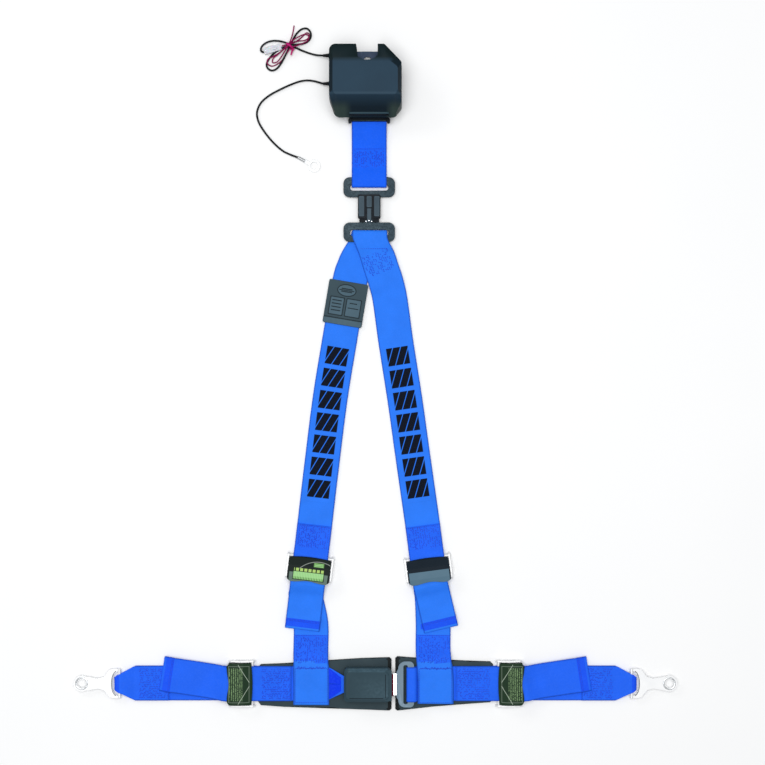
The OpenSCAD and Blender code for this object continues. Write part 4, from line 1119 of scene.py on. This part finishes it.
def make_pads():
    cloth = pad_paint()
    binding = plastic_paint("pad_binding", (0.010, 0.013, 0.014), (0.016, 0.020, 0.021), (0.5, 0.62), 900, 0.0001)
    left = [(-169, -26), (-165, -31.8), (-131, -34.2), (-20, -38), (20, -39.4), (23, -37), (23, 34.6), (20, 37),
            (-20, 35.8), (-58, 33.4), (-131, 28.4), (-165, 27), (-169, 22)]
    right = [(28.5, -37.4), (31.5, -39.6), (82, -33.9), (128, -30.2), (165, -27.6), (169, -23), (169, 27),
             (165, 31), (128, 32.2), (82, 34.4), (31.5, 38.4), (28.5, 36)]
    make_pad("left_pad", dense(left), "left_half", cloth, binding)
    make_pad("right_pad", dense(right), "right_half", cloth, binding)


# ------------------------------------------------------------------ leads

LEAD = 2.8


def cord_curve(name, points, diameter, material):
    data = bpy.data.curves.new(name, "CURVE")
    data.dimensions = "3D"
    data.bevel_depth = diameter / 2 * MM
    data.bevel_resolution = 4
    data.use_fill_caps = True
    spline = data.splines.new("POLY")
    spline.points.add(len(points) - 1)
    for target, point in zip(spline.points, points):
        target.co = (*(point * MM), 1)
    data.materials.append(material)
    made = bpy.data.objects.new(name, data)
    bpy.context.scene.collection.objects.link(made)
    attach(made, "retractor")
    return made


def run_length(points):
    return sum((b - a).length for a, b in zip(points, points[1:])) * MM


GROUND_ROUTE = [(-68, 426.5, 6), (-72, 426.6, 5.9), (-76, 427, 5.4), (-82, 429, 3.6), (-89, 431, 2.0),
                (-98, 432, 1.6), (-109, 430.5, 1.6), (-123, 425.5, 1.6), (-139, 418, 1.6), (-154, 409.5, 1.6),
                (-165, 399.5, 1.6), (-170.5, 386.5, 1.6), (-168.5, 373, 1.6), (-160.5, 359, 1.6),
                (-148, 343.5, 1.6), (-134, 331, 1.6), (-122, 325, 1.6), (-111.5, 321, 2.4)]
# The feed lead: along the bench, once round both loops of the bundle, then round the connector's outer end
FEED_ROUTE = [(-68, 467, 6), (-72, 467, 5.9), (-77, 467.2, 5.2), (-84, 468, 3.4), (-91, 469.7, 2),
              (-98, 472, 1.6), (-106, 475, 1.6), (-114, 478.6, 1.6), (-122, 480.6, 1.6), (-130, 480, 1.6),
              (-138, 476.6, 1.6), (-146, 471, 1.6), (-152.6, 463.8, 1.6), (-156.6, 456, 1.6),
              (-155.2, 449.6, 1.6), (-148.8, 446.2, 1.6), (-141.6, 449.4, 1.6), (-135.6, 457, 1.8),
              (-129.8, 467.4, 3.0), (-124.6, 477.4, 4.9), (-119.4, 488, 4.9), (-114, 498, 3.6),
              (-106.6, 505.2, 2.6), (-98.6, 506.4, 2.2), (-93.4, 500.6, 2.0), (-93.8, 492.6, 2.0),
              (-99.4, 486.4, 2.6), (-108.4, 483.4, 4.8), (-118, 482.2, 7.2), (-127.6, 484.8, 7.0),
              (-137, 487.6, 5.6), (-147, 488.4, 4.4), (-156.4, 486, 4.0), (-163.4, 480.4, 3.8),
              (-164.6, 474.2, 3.8), (-160.6, 471.8, 3.8)]
# The spare lead: out of the connector, two turns of the bundle, and up to its bare end
SPARE_ROUTE = [(-134.6, 481, 3.6), (-128.6, 482.6, 3.6), (-121.4, 484.4, 3.2), (-113.4, 488.6, 1.4),
               (-105.6, 494.6, 1.0), (-99.6, 500.4, 1.0), (-95.8, 499, 1.0), (-96.4, 493.4, 1.0),
               (-102.4, 489.6, 1.0), (-110.4, 488.2, 3.9), (-119.6, 484.4, 9.2), (-127, 478.8, 9.2),
               (-136.8, 472.2, 3.9), (-146.4, 467.2, 0.9), (-154.6, 462, 3.9), (-155.4, 455.8, 3.9),
               (-148.8, 452.6, 1.2), (-140, 456.4, 0.9), (-133.4, 462.6, 0.9), (-127.6, 470.6, 3.9),
               (-121.6, 477, 9.2), (-113.4, 480.4, 8.6), (-104.6, 484.6, 5.2), (-97.4, 489, 3.9),
               (-96.2, 495.6, 3.6), (-101.6, 498, 3.4), (-109, 494.8, 5.4), (-116.4, 489.6, 9.0),
               (-123.6, 483.6, 11.2), (-130.6, 476.4, 8.6), (-139.6, 469.6, 4.0), (-147.4, 463, 2.8),
               (-147.6, 457.4, 3.0), (-141.2, 458.6, 3.0), (-134.6, 466.4, 5.2), (-128.4, 475, 10.6),
               (-123.2, 484.4, 11.9), (-120, 494, 6.4), (-118.4, 503, 1.6), (-117.2, 511, 0.9)]


def make_leads():
    black = plastic_paint("lead_sleeving", (0.008, 0.009, 0.010), (0.014, 0.015, 0.017), (0.38, 0.5), 1500, 0.00005)
    red = plastic_paint("red_sleeving", (0.20, 0.004, 0.060), (0.28, 0.006, 0.095), (0.36, 0.48), 1500, 0.00005)
    ties = plastic_paint("tie_plastic", (0.42, 0.01, 0.13), (0.50, 0.015, 0.17), (0.34, 0.46), 1200, 0.00005)
    ground = catmull([Vector(p) for p in GROUND_ROUTE], 3)
    feed = catmull([Vector(p) for p in FEED_ROUTE], 1.5)
    spare = catmull([Vector(p) for p in SPARE_ROUTE], 1.2)
    first = cord_curve("ground_cord", ground, LEAD, black)
    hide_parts("ground_lead")
    run_length(ground)
    second = cord_curve("feed_cord", feed, LEAD, black)
    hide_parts("feed_lead", "lead_hank")
    run_length(feed)
    third = cord_curve("spare_cord", spare, 1.8, red)
    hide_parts("spare_lead")
    tie = make_tie(ties)
    run_length(spare)
    strain_reliefs(black)


def make_tie(material):
    """The tie round the middle of the bundle, with its square head and short end."""
    along = Vector((0.60, 0.80, 0))
    across = Vector((0.80, -0.60, 0))
    centre = Vector((-123.4, 480.6, 6.8))
    sides = 28
    verts = []
    for offset in (-1.3, 1.3):
        for grow in (0.0, 0.9):
            verts += [(centre + along * offset + across * u + Vector((0, 0, v))) * MM
                      for u, v in oval(0, 0, 5.4 + grow, 6.0 + grow, sides)]
    inner_a, outer_a, inner_b, outer_b = 0, sides, 2 * sides, 3 * sides
    faces = []
    for a, b in ((inner_a, outer_a), (outer_a, outer_b), (outer_b, inner_b), (inner_b, inner_a)):
        faces += ring_faces(sides, a, b)
    band = mesh_from("lead_tie_band", verts, faces)
    head = prism("lead_tie_head", round_rect(-2.4, -2.2, 2.4, 2.2, 0.6), 0, 3)
    head.transform(Matrix.Translation(mm(-119.2, 476.2, 3.4)) @ Matrix.Rotation(math.radians(-37), 4, "Z"))
    tip = prism("lead_tie_tip", round_rect(-1.2, -7, 1.2, 0, 0.5), 0, 0.9)
    tip.transform(Matrix.Translation(mm(-119.6, 474.6, 4.4)) @ Matrix.Rotation(math.radians(-14), 4, "Z"))
    made = add_object("lead_tie", join_meshes("lead_tie", [band, head, tip]), material, "retractor",
                      False)
    return bevel(made, 0.25, 2)


def strain_reliefs(material):
    """Tapered sleeves over the first stretch of each lead."""
    sides = 20
    stations = [(-66.5, 2.6), (-71.2, 2.5), (-71.6, 2.0), (-73, 2.35), (-73.4, 1.95), (-74.8, 2.15), (-75.2, 1.75)]
    for name, y in (("ground_relief", 426.5), ("feed_relief", 467)):
        verts = []
        for x, r in stations:
            drop = max(0, (-x - 71)) ** 2 * 0.035
            verts += [mm(x, u, v) for u, v in oval(y, 6 - drop, r, r, sides)]
        mesh = mesh_from(name, verts, skin_faces(sides, len(stations)))
        add_object(name, mesh, material, "retractor")


# ------------------------------------------------------------------ hard parts from the CAD


def dress(node, material, edge, flats):
    """A CAD piece with its own shape: a finish, and edges as the real piece's tooling rounds them."""
    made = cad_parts[node]
    made.data.materials.clear()
    made.data.materials.append(material)
    made.data.polygons.foreach_set("use_smooth", [True] * len(made.data.polygons))
    weld = made.modifiers.new("joined_faces", "WELD")
    weld.merge_threshold = 0.00002
    if flats:
        flat = made.modifiers.new("whole_flats", "DECIMATE")
        flat.decimate_type = "DISSOLVE"
        flat.angle_limit = math.radians(0.6)
    if edge:
        bevel(made, edge, 3, 32)


def make_hard_parts():
    cover = cover_paint()
    moulding = plastic_paint("black_moulding", (0.004, 0.006, 0.009), (0.008, 0.012, 0.017), (0.36, 0.5), 1700,
                             0.00005, worn=0.3)
    buckle = plastic_paint("buckle_moulding", (0.027, 0.055, 0.072), (0.034, 0.065, 0.084), (0.38, 0.5), 1900,
                           0.00005, worn=0.35)
    grip = plastic_paint("grip_moulding", (0.165, 0.235, 0.30), (0.20, 0.28, 0.345), (0.4, 0.52), 1900, 0.00005,
                         worn=0.25)
    button = plastic_paint("button_moulding", (0.085, 0.010, 0.020), (0.13, 0.014, 0.028), (0.3, 0.42), 1500,
                           0.00004, worn=0.2)
    inner = plastic_paint("inner_moulding", (0.05, 0.05, 0.052), (0.08, 0.08, 0.082), (0.45, 0.6), 1400, 0.00005)
    ivory = plastic_paint("ejector_moulding", (0.60, 0.57, 0.48), (0.68, 0.65, 0.56), (0.4, 0.5), 1400, 0.00004)
    dark = steel_paint("dark_plated_steel", (0.022, 0.036, 0.046), (0.038, 0.056, 0.068), (0.42, 0.58),
                       (1, 1, 1), 300, metallic=0.8, spots=0.7)
    zinc = steel_paint("bright_zinc", (0.78, 0.79, 0.80), (0.84, 0.845, 0.85), (0.36, 0.5), (1, 8, 1), 240,
                       metallic=0.3)
    bars = steel_paint("ground_bar_steel", (0.60, 0.62, 0.64), (0.72, 0.74, 0.76), (0.22, 0.34), (12, 1, 1), 200)
    chrome = steel_paint("tongue_chrome_plate", (0.84, 0.88, 0.92), (0.92, 0.95, 0.98), (0.16, 0.3), (1, 10, 1),
                         160)
    spring = steel_paint("spring_strip", (0.30, 0.31, 0.34), (0.42, 0.43, 0.46), (0.3, 0.4), (1, 1, 6), 220)
    alloy = steel_paint("cast_spool_alloy", (0.52, 0.53, 0.55), (0.62, 0.63, 0.65), (0.4, 0.55), (1, 1, 1), 420,
                        spots=0.3)
    bluish = steel_paint("blued_frame_steel", (0.016, 0.024, 0.042), (0.028, 0.038, 0.060), (0.36, 0.5),
                         (6, 1, 1), 200)
    tinned = steel_paint("tinned_terminal", (0.42, 0.43, 0.44), (0.58, 0.59, 0.60), (0.34, 0.46), (1, 1, 1), 500,
                         metallic=0.6)
    solenoid = plastic_paint("solenoid_lacquer", (0.03, 0.05, 0.035), (0.04, 0.065, 0.05), (0.3, 0.4), 900, 0.00004)
    panel = plastic_paint("connector_panel", (0.050, 0.078, 0.102), (0.066, 0.098, 0.124), (0.36, 0.48), 1500,
                          0.00005)
    roll = webbing_roll_paint()
    nylon = nylon_paint()
    finish = {
        "retractor_frame": (bluish, 0.35), "belt_guide": (moulding, 1.0),
        "spring_housing": (inner, 0.8), "clock_spring": (spring, 0), "sensor_housing": (inner, 0.6),
        "sensor_ball": (bars, 0), "lock_solenoid": (solenoid, 0.5), "spool": (alloy, 0.3), "webbing_roll": (roll, 0),
        "lock_pawl": (dark, 0.3), "lead_grommets": (moulding, 0.6), "ring_terminal": (tinned, 0.25),
        "inline_connector": (nylon, 0.45), "upper_plate": (dark, 0.9), "connector_body": (moulding, 0.5),
        "connector_latch": (panel, 0.3), "lower_plate": (dark, 0.9), "buckle_cover": (buckle, 1.1),
        "buckle_frame": (zinc, 0.3), "push_button": (button, 0.7), "buckle_latch": (dark, 0.4),
        "ejector": (ivory, 0.4), "tongue_blade": (chrome, 0.5),
        "left_end_bracket": (zinc, 0.55), "right_end_bracket": (zinc, 0.55),
    }
    for name in ADJUSTERS:
        finish[f"{name}_adjuster_frame"] = (zinc, 0.4)
        finish[f"{name}_locking_bar"] = (bars, 0.35)
    for node, (material, edge) in finish.items():
        dress(node, material, edge, flats="bracket" not in node)
    return {"cover": cover, "moulding": moulding, "panel": panel, "buckle": buckle, "grip": grip,
            "zinc": zinc, "dark": dark, "chrome": chrome, "bars": bars, "blued": bluish}


def webbing_roll_paint():
    """The roll on the spool: its layers show as fine rings on its ends."""
    paint = Paint("rolled_belt")
    x, y, z = paint.axes(paint.coords("Object"))
    spool_y, spool_z = 0.424, 0.031
    dy = paint.math("SUBTRACT", y, spool_y)
    dz = paint.math("SUBTRACT", z, spool_z)
    radius = paint.math("SQRT", paint.math("ADD", paint.times(dy, dy), paint.times(dz, dz)))
    layers = paint.wave(radius, 0.0016)
    yarn = paint.wave(x, 0.0011)
    weave = paint.math("MULTIPLY_ADD", layers, 0.6, paint.times(yarn, 0.4))
    # Painted shade: darker between the wound layers and between the yarns.
    paint.colour(paint.mix(weave, BLUE_LOW, BLUE))
    paint.set("Roughness", 0.6)
    paint.bump(weave, 0.0002, 0.7)
    return paint.material


# ------------------------------------------------------------------ small details


def strip(name, points, half, height, material, body):
    """A low rounded ridge or groove liner along a line of points, in mm, on a surface."""
    rows = [(-1, -0.4), (-0.7, 0.6), (0, 1), (0.7, 0.6), (1, -0.4)]
    verts = []
    for i, p in enumerate(points):
        heading = (points[min(i + 1, len(points) - 1)] - points[max(i - 1, 0)]).normalized()
        side = Vector((-heading.y, heading.x, 0)).normalized() * half
        verts += [(p + side * u + Vector((0, 0, v * height))) * MM for u, v in rows]
    mesh = mesh_from(name, verts, skin_faces(len(rows), len(points)))
    return add_object(name, mesh, material, body)


def lap_label_paint():
    """Lap adjuster: dark olive face, rows of fine plain dashes, a pale border and a slanted line."""
    paint = Paint("lap_label")
    across, along = paint.belt_uv()
    place = paint.coords("Object")
    grain = paint.noise(place, 800, 3)
    base = paint.mix(grain, (0.012, 0.030, 0.014), (0.022, 0.046, 0.026))
    dashes = paint.ramp(paint.noise(place, 620, 2), 0.42, 0.52)
    rows = paint.times(paint.ramp(paint.wave(along, 0.0030), 0.45, 0.7), dashes)
    panel = paint.times(paint.within(across, 0.0, 0.0235), paint.within(along, -0.0055, 0.0095))
    base = paint.mix(paint.times(panel, rows), base, (0.20, 0.32, 0.15))
    outer = paint.times(paint.within(across, 0, 0.0262), paint.within(along, -0.001, 0.0150))
    inner = paint.times(paint.within(across, 0, 0.0255), paint.within(along, -0.001, 0.0143))
    border = paint.math("SUBTRACT", outer, inner)
    base = paint.mix(paint.times(border, 0.7), base, (0.22, 0.28, 0.22))
    slant = paint.math("ADD", paint.times(along, 1.6), paint.math("ABSOLUTE", across))
    line = paint.times(paint.within(slant, 0.0250, 0.0006, 0.0003), paint.within(along, 0.006, 0.008))
    base = paint.mix(line, base, (0.42, 0.50, 0.40))
    # sides is the colour of the painted shade on the cover's side faces.
    return cover_finish(paint, base, grain, 0.06, sides=(0.006, 0.010, 0.007), rough=(0.36, 0.48))


def two_tone_paint():
    """The plain adjuster's cover: dark front half, satin blue-grey rear half inside a dark border."""
    paint = Paint("two_tone_cover")
    across, along = paint.belt_uv()
    place = paint.coords("Object")
    grain = paint.noise(place, 1500, 3)
    slow = paint.noise(place, 60, 2)
    base = paint.mix(slow, (0.005, 0.011, 0.019), (0.009, 0.017, 0.026))
    rear = paint.times(paint.within(along, -0.0105, 0.0104), paint.within(across, 0, 0.0288))
    base = paint.mix(rear, base, paint.mix(slow, (0.085, 0.160, 0.220), (0.110, 0.190, 0.250)))
    return cover_finish(paint, base, grain, 0.05, (0.00005, 0.6))


COVER_HALF = 30.3
COVER_BACK = -36.0


def cover_outline(steps=40):
    """An adjuster cover seen from above: arched front edge, round corners, hollow rear edge."""
    def corner(x, radius):
        inside = max(0, abs(x) - (COVER_HALF - radius))
        return radius - math.sqrt(max(0, radius * radius - inside * inside))
    xs = [-COVER_HALF * math.cos(math.pi * k / steps) for k in range(steps + 1)]
    rear = [(x, COVER_BACK + 2.6 * math.cos(math.pi * x / 44) ** 2 * (abs(x) < 22) + corner(x, 6.5)) for x in xs]
    front = [(x, 0.9 - 2.0 * (x / COVER_HALF) ** 2 - corner(x, 3.5)) for x in reversed(xs)]
    return rear + front


def make_adjuster_cover(name, material):
    """Roof and two cheeks of an adjuster, slotted over the ends of its locking bar."""
    at = Local(name)
    roof = [(-37, 13), (-37, 14.4), (-28, 16.4), (-12, 16.4), (-1, 12.8), (1.4, 11.4), (1.4, 10.6), (-12, 13)]
    shell = prism("roof", roof, -32, 32)
    shell.transform(SIDE_ON)
    made = add_object(f"{name}_cover", shell, material, None, False)
    carve(made, prism("outline", cover_outline(), 5, 20), "INTERSECT")
    cheek = [(-33.5, 13.4), (-12, 13.4), (-3, 11.0), (-3, 6), (-10.9, 6), (-10.9, 11), (-20.1, 11), (-20.1, 6),
             (-29, 6), (-33.5, 8.6)]
    meshes = [made.data]
    for low in (-30.2, 28.0):
        wall = prism("cheek", cheek, low, low + 2.2)
        wall.transform(SIDE_ON)
        meshes.append(wall)
    mesh = join_meshes(f"{name}_cover", meshes)
    layer = mesh.uv_layers.new(name="belt")
    for loop in mesh.loops:
        p = mesh.vertices[loop.vertex_index].co
        layer.data[loop.index].uv = (p.x, p.y + 0.0176)
    mesh.transform(at.matrix())
    mesh.materials.clear()
    mesh.materials.append(material)
    made.data = mesh
    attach(made, f"{name}_adjuster")
    bevel(made, 0.9, 3, 28)
    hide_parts(f"{name}_adjuster_cover")


def make_adjuster_details(mats):
    faces = {"left_shoulder": label_paint("shoulder_label"), "right_shoulder": two_tone_paint()}
    lap = lap_label_paint()
    for name in ADJUSTERS:
        at = Local(name)
        make_adjuster_cover(name, faces.get(name, lap))
        for side in (-1, 1):
            rivet(f"{name}_rivet_{'a' if side < 0 else 'b'}", at.at(side * 32.9, 0, BAR_Z), at.right * side, 3.1,
                  0.9, mats["zinc"], f"{name}_adjuster")


def rivet(name, place, facing, radius, height, material, body):
    """A domed rivet head on a face that looks along facing."""
    rings = [(1.0, 0), (1.0, 0.35), (0.86, 0.72), (0.55, 0.93), (0.2, 1.0)]
    sides = 24
    verts = [Vector((x, y, height * lift)) for share, lift in rings
             for x, y in oval(0, 0, radius * share, radius * share, sides)]
    turn = facing.to_track_quat("Z", "Y").to_matrix().to_4x4()
    mesh = mesh_from(name, [(place + turn @ v) * MM for v in verts], skin_faces(sides, len(rings)))
    return add_object(name, mesh, material, body)


def make_sleeve():
    """Rubber label sleeve: hollow, with two boxed panels, a ledge and plain embossed bars."""
    rubber = plastic_paint("sleeve_moulding", (0.054, 0.098, 0.128), (0.070, 0.120, 0.155), (0.42, 0.56), 1500,
                           0.00008, worn=0.4)
    frame_paint = plastic_paint("sleeve_shell_moulding", (0.034, 0.060, 0.076), (0.046, 0.078, 0.096), (0.42, 0.56),
                                1500, 0.00008, worn=0.3)
    shadow = plastic_paint("sleeve_recess", (0.014, 0.024, 0.030), (0.020, 0.032, 0.040), (0.5, 0.6), 1500, 0.00008)
    centre, turn = (-43.2, 111.0), math.radians(-9.5)
    place = Matrix.Translation(mm(*centre, 0)) @ Matrix.Rotation(turn, 4, "Z")
    shell = prism("sleeve_shell", round_rect(-28.3, -31.5, 28.3, 31.5, 2.5), 0, 4.3)
    slot = prism("sleeve_slot", [(-24.8, -40), (26.6, -40), (26.6, 40), (-24.8, 40)], 0.7, 2.9)
    shell.transform(place)
    slot.transform(place)
    made = add_object("sleeve_shell", shell, frame_paint, None, False)
    carve(made, slot)
    made.data.polygons.foreach_set("use_smooth", [False] * len(made.data.polygons))
    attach(made, "sleeve")
    bevel(made, 0.7, 3)
    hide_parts("label_sleeve")
    raised = [round_rect(-27.4, -31, 27.4, -23.4, 1.5), round_rect(-21.6, -17.6, -3.0, 6.6, 1.0),
              round_rect(2.0, -17.6, 21.8, 6.6, 1.0), oval(-1, 18.6, 12.6, 7.6)]
    sunk = [round_rect(-27.6, -23.0, 27.6, -21.6, 0.4), round_rect(-23.0, -19.0, -1.6, 8.0, 1.4),
            round_rect(0.6, -19.0, 23.2, 8.0, 1.4), oval(-1, 18.6, 14.0, 9.0)]
    marks = [round_rect(-19.4, y - 0.8, -5.6, y + 0.8, 0.4) for y in (2.6, -2.2, -7.0, -11.8)]
    marks += [round_rect(4.2, -6.6, 19.8, -5.2, 0.4), round_rect(6, 0.4, 17, 1.9, 0.4),
              round_rect(-9, 19.8, 7, 21.4, 0.5), round_rect(-9, 15.8, 7, 17.4, 0.5),
              round_rect(-12, 17.9, 10, 19.2, 0.5)]
    layers = (("sleeve_panels", raised, 4.95, rubber), ("sleeve_lines", sunk, 4.42, shadow),
              ("sleeve_marks", marks, 5.12, shadow))
    for name, outlines, top, paint_of in layers:
        mesh = join_meshes(name, [prism(name, outline, 4.0, top) for outline in outlines])
        mesh.transform(place)
        bevel(add_object(name, mesh, paint_of, "sleeve", False), 0.18 if top > 4.6 else 0.05, 2)


def make_connector_details(mats):
    """Three ribbed panels on the connector, and the three bright stops at its foot."""
    meshes = []
    for x0, x1, y0 in ((-23.9, -16.2, 235.5), (-12.6, -5.4, 248.6), (-1.8, 5.9, 235.5)):
        meshes.append(prism("panel", round_rect(x0, y0, x1, 264.6, 1.6), 10.2, 11.3))
        for k in range(4):
            x = x0 + 1.4 + k * (x1 - x0 - 2.8) / 3
            meshes.append(prism("rib", round_rect(x - 0.45, y0 + 2, x + 0.45, 262.8, 0.4), 11.0, 11.7))
    ribs = join_meshes("connector_ribs", meshes)
    bevel(add_object("connector_ribs", ribs, mats["panel"], "connector", False), 0.22, 2)
    for i, (x, y) in enumerate(((-13.4, 228.8), (-9.2, 229.6), (-5.6, 228.8))):
        rivet(f"connector_stop_{i + 1}", Vector((x, y, 9.9 if i == 1 else 8.5)), Vector((0, 0, 1)), 1.3, 0.9,
              mats["chrome"], "connector_latch_body" if i == 1 else "connector")


def loft(name, rings):
    """Closed solid through rings of the same number of points, in mm, from the bottom up."""
    count = len(rings[0])
    verts = [Vector(p) * MM for points in rings for p in points]
    faces = [tuple(range(count - 1, -1, -1)), tuple(range((len(rings) - 1) * count, len(rings) * count))]
    for level in range(len(rings) - 1):
        faces += ring_faces(count, level * count, (level + 1) * count)
    return mesh_from(name, verts, faces)


def make_retractor_cover(mats):
    """The moulded cover: leaning front, a plateau with sloped front and back, and the notch over the bolt."""
    base = [(-57.6, 378.8), (-66.2, 402), (-66.0, 474), (13.2, 474), (37.6, 449), (37.9, 391), (28.2, 378.8)]
    belly = [(-57.2, 374.6), (-65.8, 400), (-65.6, 474), (13.2, 474), (37.6, 449), (37.6, 391), (28.0, 374.6)]
    shoulder = [(-56.2, 377.6), (-65.2, 402), (-65.2, 474), (12.8, 474), (36.8, 449), (36.8, 393), (27.4, 377.6)]
    plateau = [(-56.6, 402), (-60.2, 408), (-60.2, 454.5), (14.5, 454.5), (31.6, 441), (31.8, 409), (28.4, 402)]
    radii = [9, 14, 9, 4, 5, 8, 6]
    radii_top = [4, 6, 5, 4, 6, 5, 4]

    def shoulder_z(y):
        if y < 402:
            return 31 + max(0, y - 379) * 24.5 / 23
        return 55.5

    def level(points, corner_radii, height):
        """A rounded outline at a height, which may be a function of y."""
        return [(x, y, height(y) if callable(height) else height) for x, y in rounded(points, corner_radii, 7)]
    rings = [level(base, radii, 0.2), level(belly, radii, 28), level(shoulder, radii, shoulder_z),
             level(plateau, radii_top, 60)]
    made = add_object("retractor_shell", loft("retractor_shell", rings), mats["cover"], None, False)
    wall = 3.2
    inner = [level(inset(base, wall), radii, -1), level(inset(belly, wall), radii, 27),
             level(inset(shoulder, wall), radii, lambda y: shoulder_z(y) - 3),
             level(inset(plateau, 1.5), radii_top, 57)]
    carve(made, loft("cavity", inner))
    notch = [(-28.0, 480), (-25.6, 464)] + arc(-11.6, 470.7, 20, 228, 318, 20) + [(3.4, 480)]
    carve(made, prism("notch", notch, -2, 70))
    carve(made, prism("mouth", round_rect(-38.6, 360, 20.6, 384, 1), -2, 15))
    for y in (426.5, 467):
        hole = prism("hole", oval(y, 6, 3.2, 3.2), -75, -58)
        hole.transform(SIDE_ON)
        carve(made, hole)
    made.data.polygons.foreach_set("use_smooth", [True] * len(made.data.polygons))
    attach(made, "retractor")
    bevel(made, 1.5, 4, 24)
    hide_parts("retractor_cover")


def inset(points, depth):
    """Corner points moved in towards the middle of an outline."""
    cx = sum(p[0] for p in points) / len(points)
    cy = sum(p[1] for p in points) / len(points)
    return [(x + depth * (1 if x < cx else -1), y + depth * (1 if y < cy else -1)) for x, y in points]


def make_tongue_grip(mats):
    """Grip of the tongue: a rounded frame whose slot holds the belt, open over the blade."""
    outline = rounded([(32.6, -32.6), (55.2, -32.6), (55.2, 32.6), (32.6, 32.6), (32.6, 22), (30.2, 18),
                       (30.2, -18), (32.6, -22)], [10, 6, 6, 10, 1.5, 2, 2, 1.5], 8)
    outline = [(x, LAP_Y + y) for x, y in outline]
    made = add_object("tongue_frame", prism("tongue_frame", outline, 10.6, 15.8), mats["grip"], None, False)
    slot = [(x, LAP_Y + y) for x, y in rounded([(40, -28), (46.4, -28), (46.4, 28), (40, 28)], [2.6] * 4, 5)]
    carve(made, prism("slot", slot, 8, 20))
    seat = [(20, LAP_Y - 18.3), (34, LAP_Y - 18.3), (34, LAP_Y + 18.3), (20, LAP_Y + 18.3)]
    carve(made, prism("blade_seat", seat, 11.9, 14.7))
    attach(made, "right_half")
    bevel(made, 1.2, 4)
    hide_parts("tongue_grip")


def make_retractor_details(mats):
    """The lips and the hood of the belt guide, and the steel tab with the bolt hole."""
    tab_x, tab_y, hole_radius = -11.6, 459.6, 6.2

    def guide_strip(name, ends, y, z, half, height, material):
        line = [Vector((x, y, z)) for x in range(*ends, 4)]
        strip(name, line, half, height, mats[material], "retractor")
    guide_strip("guide_lip_upper", (-35, 18), 375.9, 13.3, 1.4, 0.55, "moulding")
    plate = prism("frame_tab_plate", round_rect(-27.6, 453, 4.4, 473.4, 1.5), 0.05, 2.45)
    tab = add_object("frame_tab_plate", plate, mats["blued"], None, False)
    carve(tab, prism("bolt_hole", oval(tab_x, tab_y, hole_radius, hole_radius), -2, 6))
    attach(tab, "retractor")
    bevel(tab, 0.4)
    guide_strip("guide_hood", (-37, 20), 380.4, 34.4, 2.0, 1.2, "buckle")
    guide_strip("guide_hood_foot", (-37, 20), 377.8, 31.6, 1.2, 0.9, "moulding")
    guide_strip("guide_lip_lower", (-35, 18), 372.6, 13.2, 0.9, 0.4, "dark")


def make_buckle_details(mats):
    """Two lines on the buckle's top, and the lip over its mouth."""
    top = 25.62
    line = [Vector((x, LAP_Y - 18.0, top)) for x in range(-37, 15, 4)]
    strip("buckle_front_line", line, 0.42, 0.2, mats["moulding"], "left_half")
    lip = prism("buckle_lip", round_rect(14.0, LAP_Y - 22, 23.3, LAP_Y + 22, 1.8), 22.75, 24.6)
    bevel(add_object("buckle_lip", lip, mats["buckle"], "left_half", False), 0.6)
    line = [Vector((14.4, LAP_Y + y, top)) for y in range(-17, 18, 3)]
    strip("buckle_end_line", line, 0.42, 0.2, mats["moulding"], "left_half")


def make_bracket_details(mats):
    """A raised rim round each end bracket's eye, and a dark strip of painted shadow along the edge of its slot."""
    eye_x, slot_x, rim_sides = 422, 371, 40
    for side in (-1, 1):
        verts, faces = [], []
        for r, z in ((6.9, 6.75), (7.3, 7.35), (8.6, 7.35), (9.2, 6.75)):
            verts += [mm(x, y, z) for x, y in oval(side * eye_x, LAP_Y, r, r, rim_sides)]
        for level in range(4):
            faces += ring_faces(rim_sides, level * rim_sides, (level + 1) % 4 * rim_sides)
        name = f"{'left' if side < 0 else 'right'}_bracket"
        add_object(f"{name}_rim", mesh_from(f"{name}_rim", verts, faces), mats["bars"], name)
        # Painted shadow: a dark strip along the slot's outer edge.
        edge = [Vector((side * (slot_x + 8.2 * math.cos(a)), LAP_Y + 18.0 * math.sin(a), 6.78))
                for a in (math.radians(-80 + 8 * k) for k in range(21))]
        strip(f"{name}_slot_shadow_strip", edge, 0.55, 0.3, mats["dark"], name)


# ------------------------------------------------------------------ the scene

make_camera()
make_studio()
make_leads()
make_belts()
make_pads()
finishes = make_hard_parts()
make_adjuster_details(finishes)
make_sleeve()
make_connector_details(finishes)
make_retractor_cover(finishes)
make_tongue_grip(finishes)
make_retractor_details(finishes)
make_buckle_details(finishes)
make_bracket_details(finishes)

bpy.context.view_layer.update()
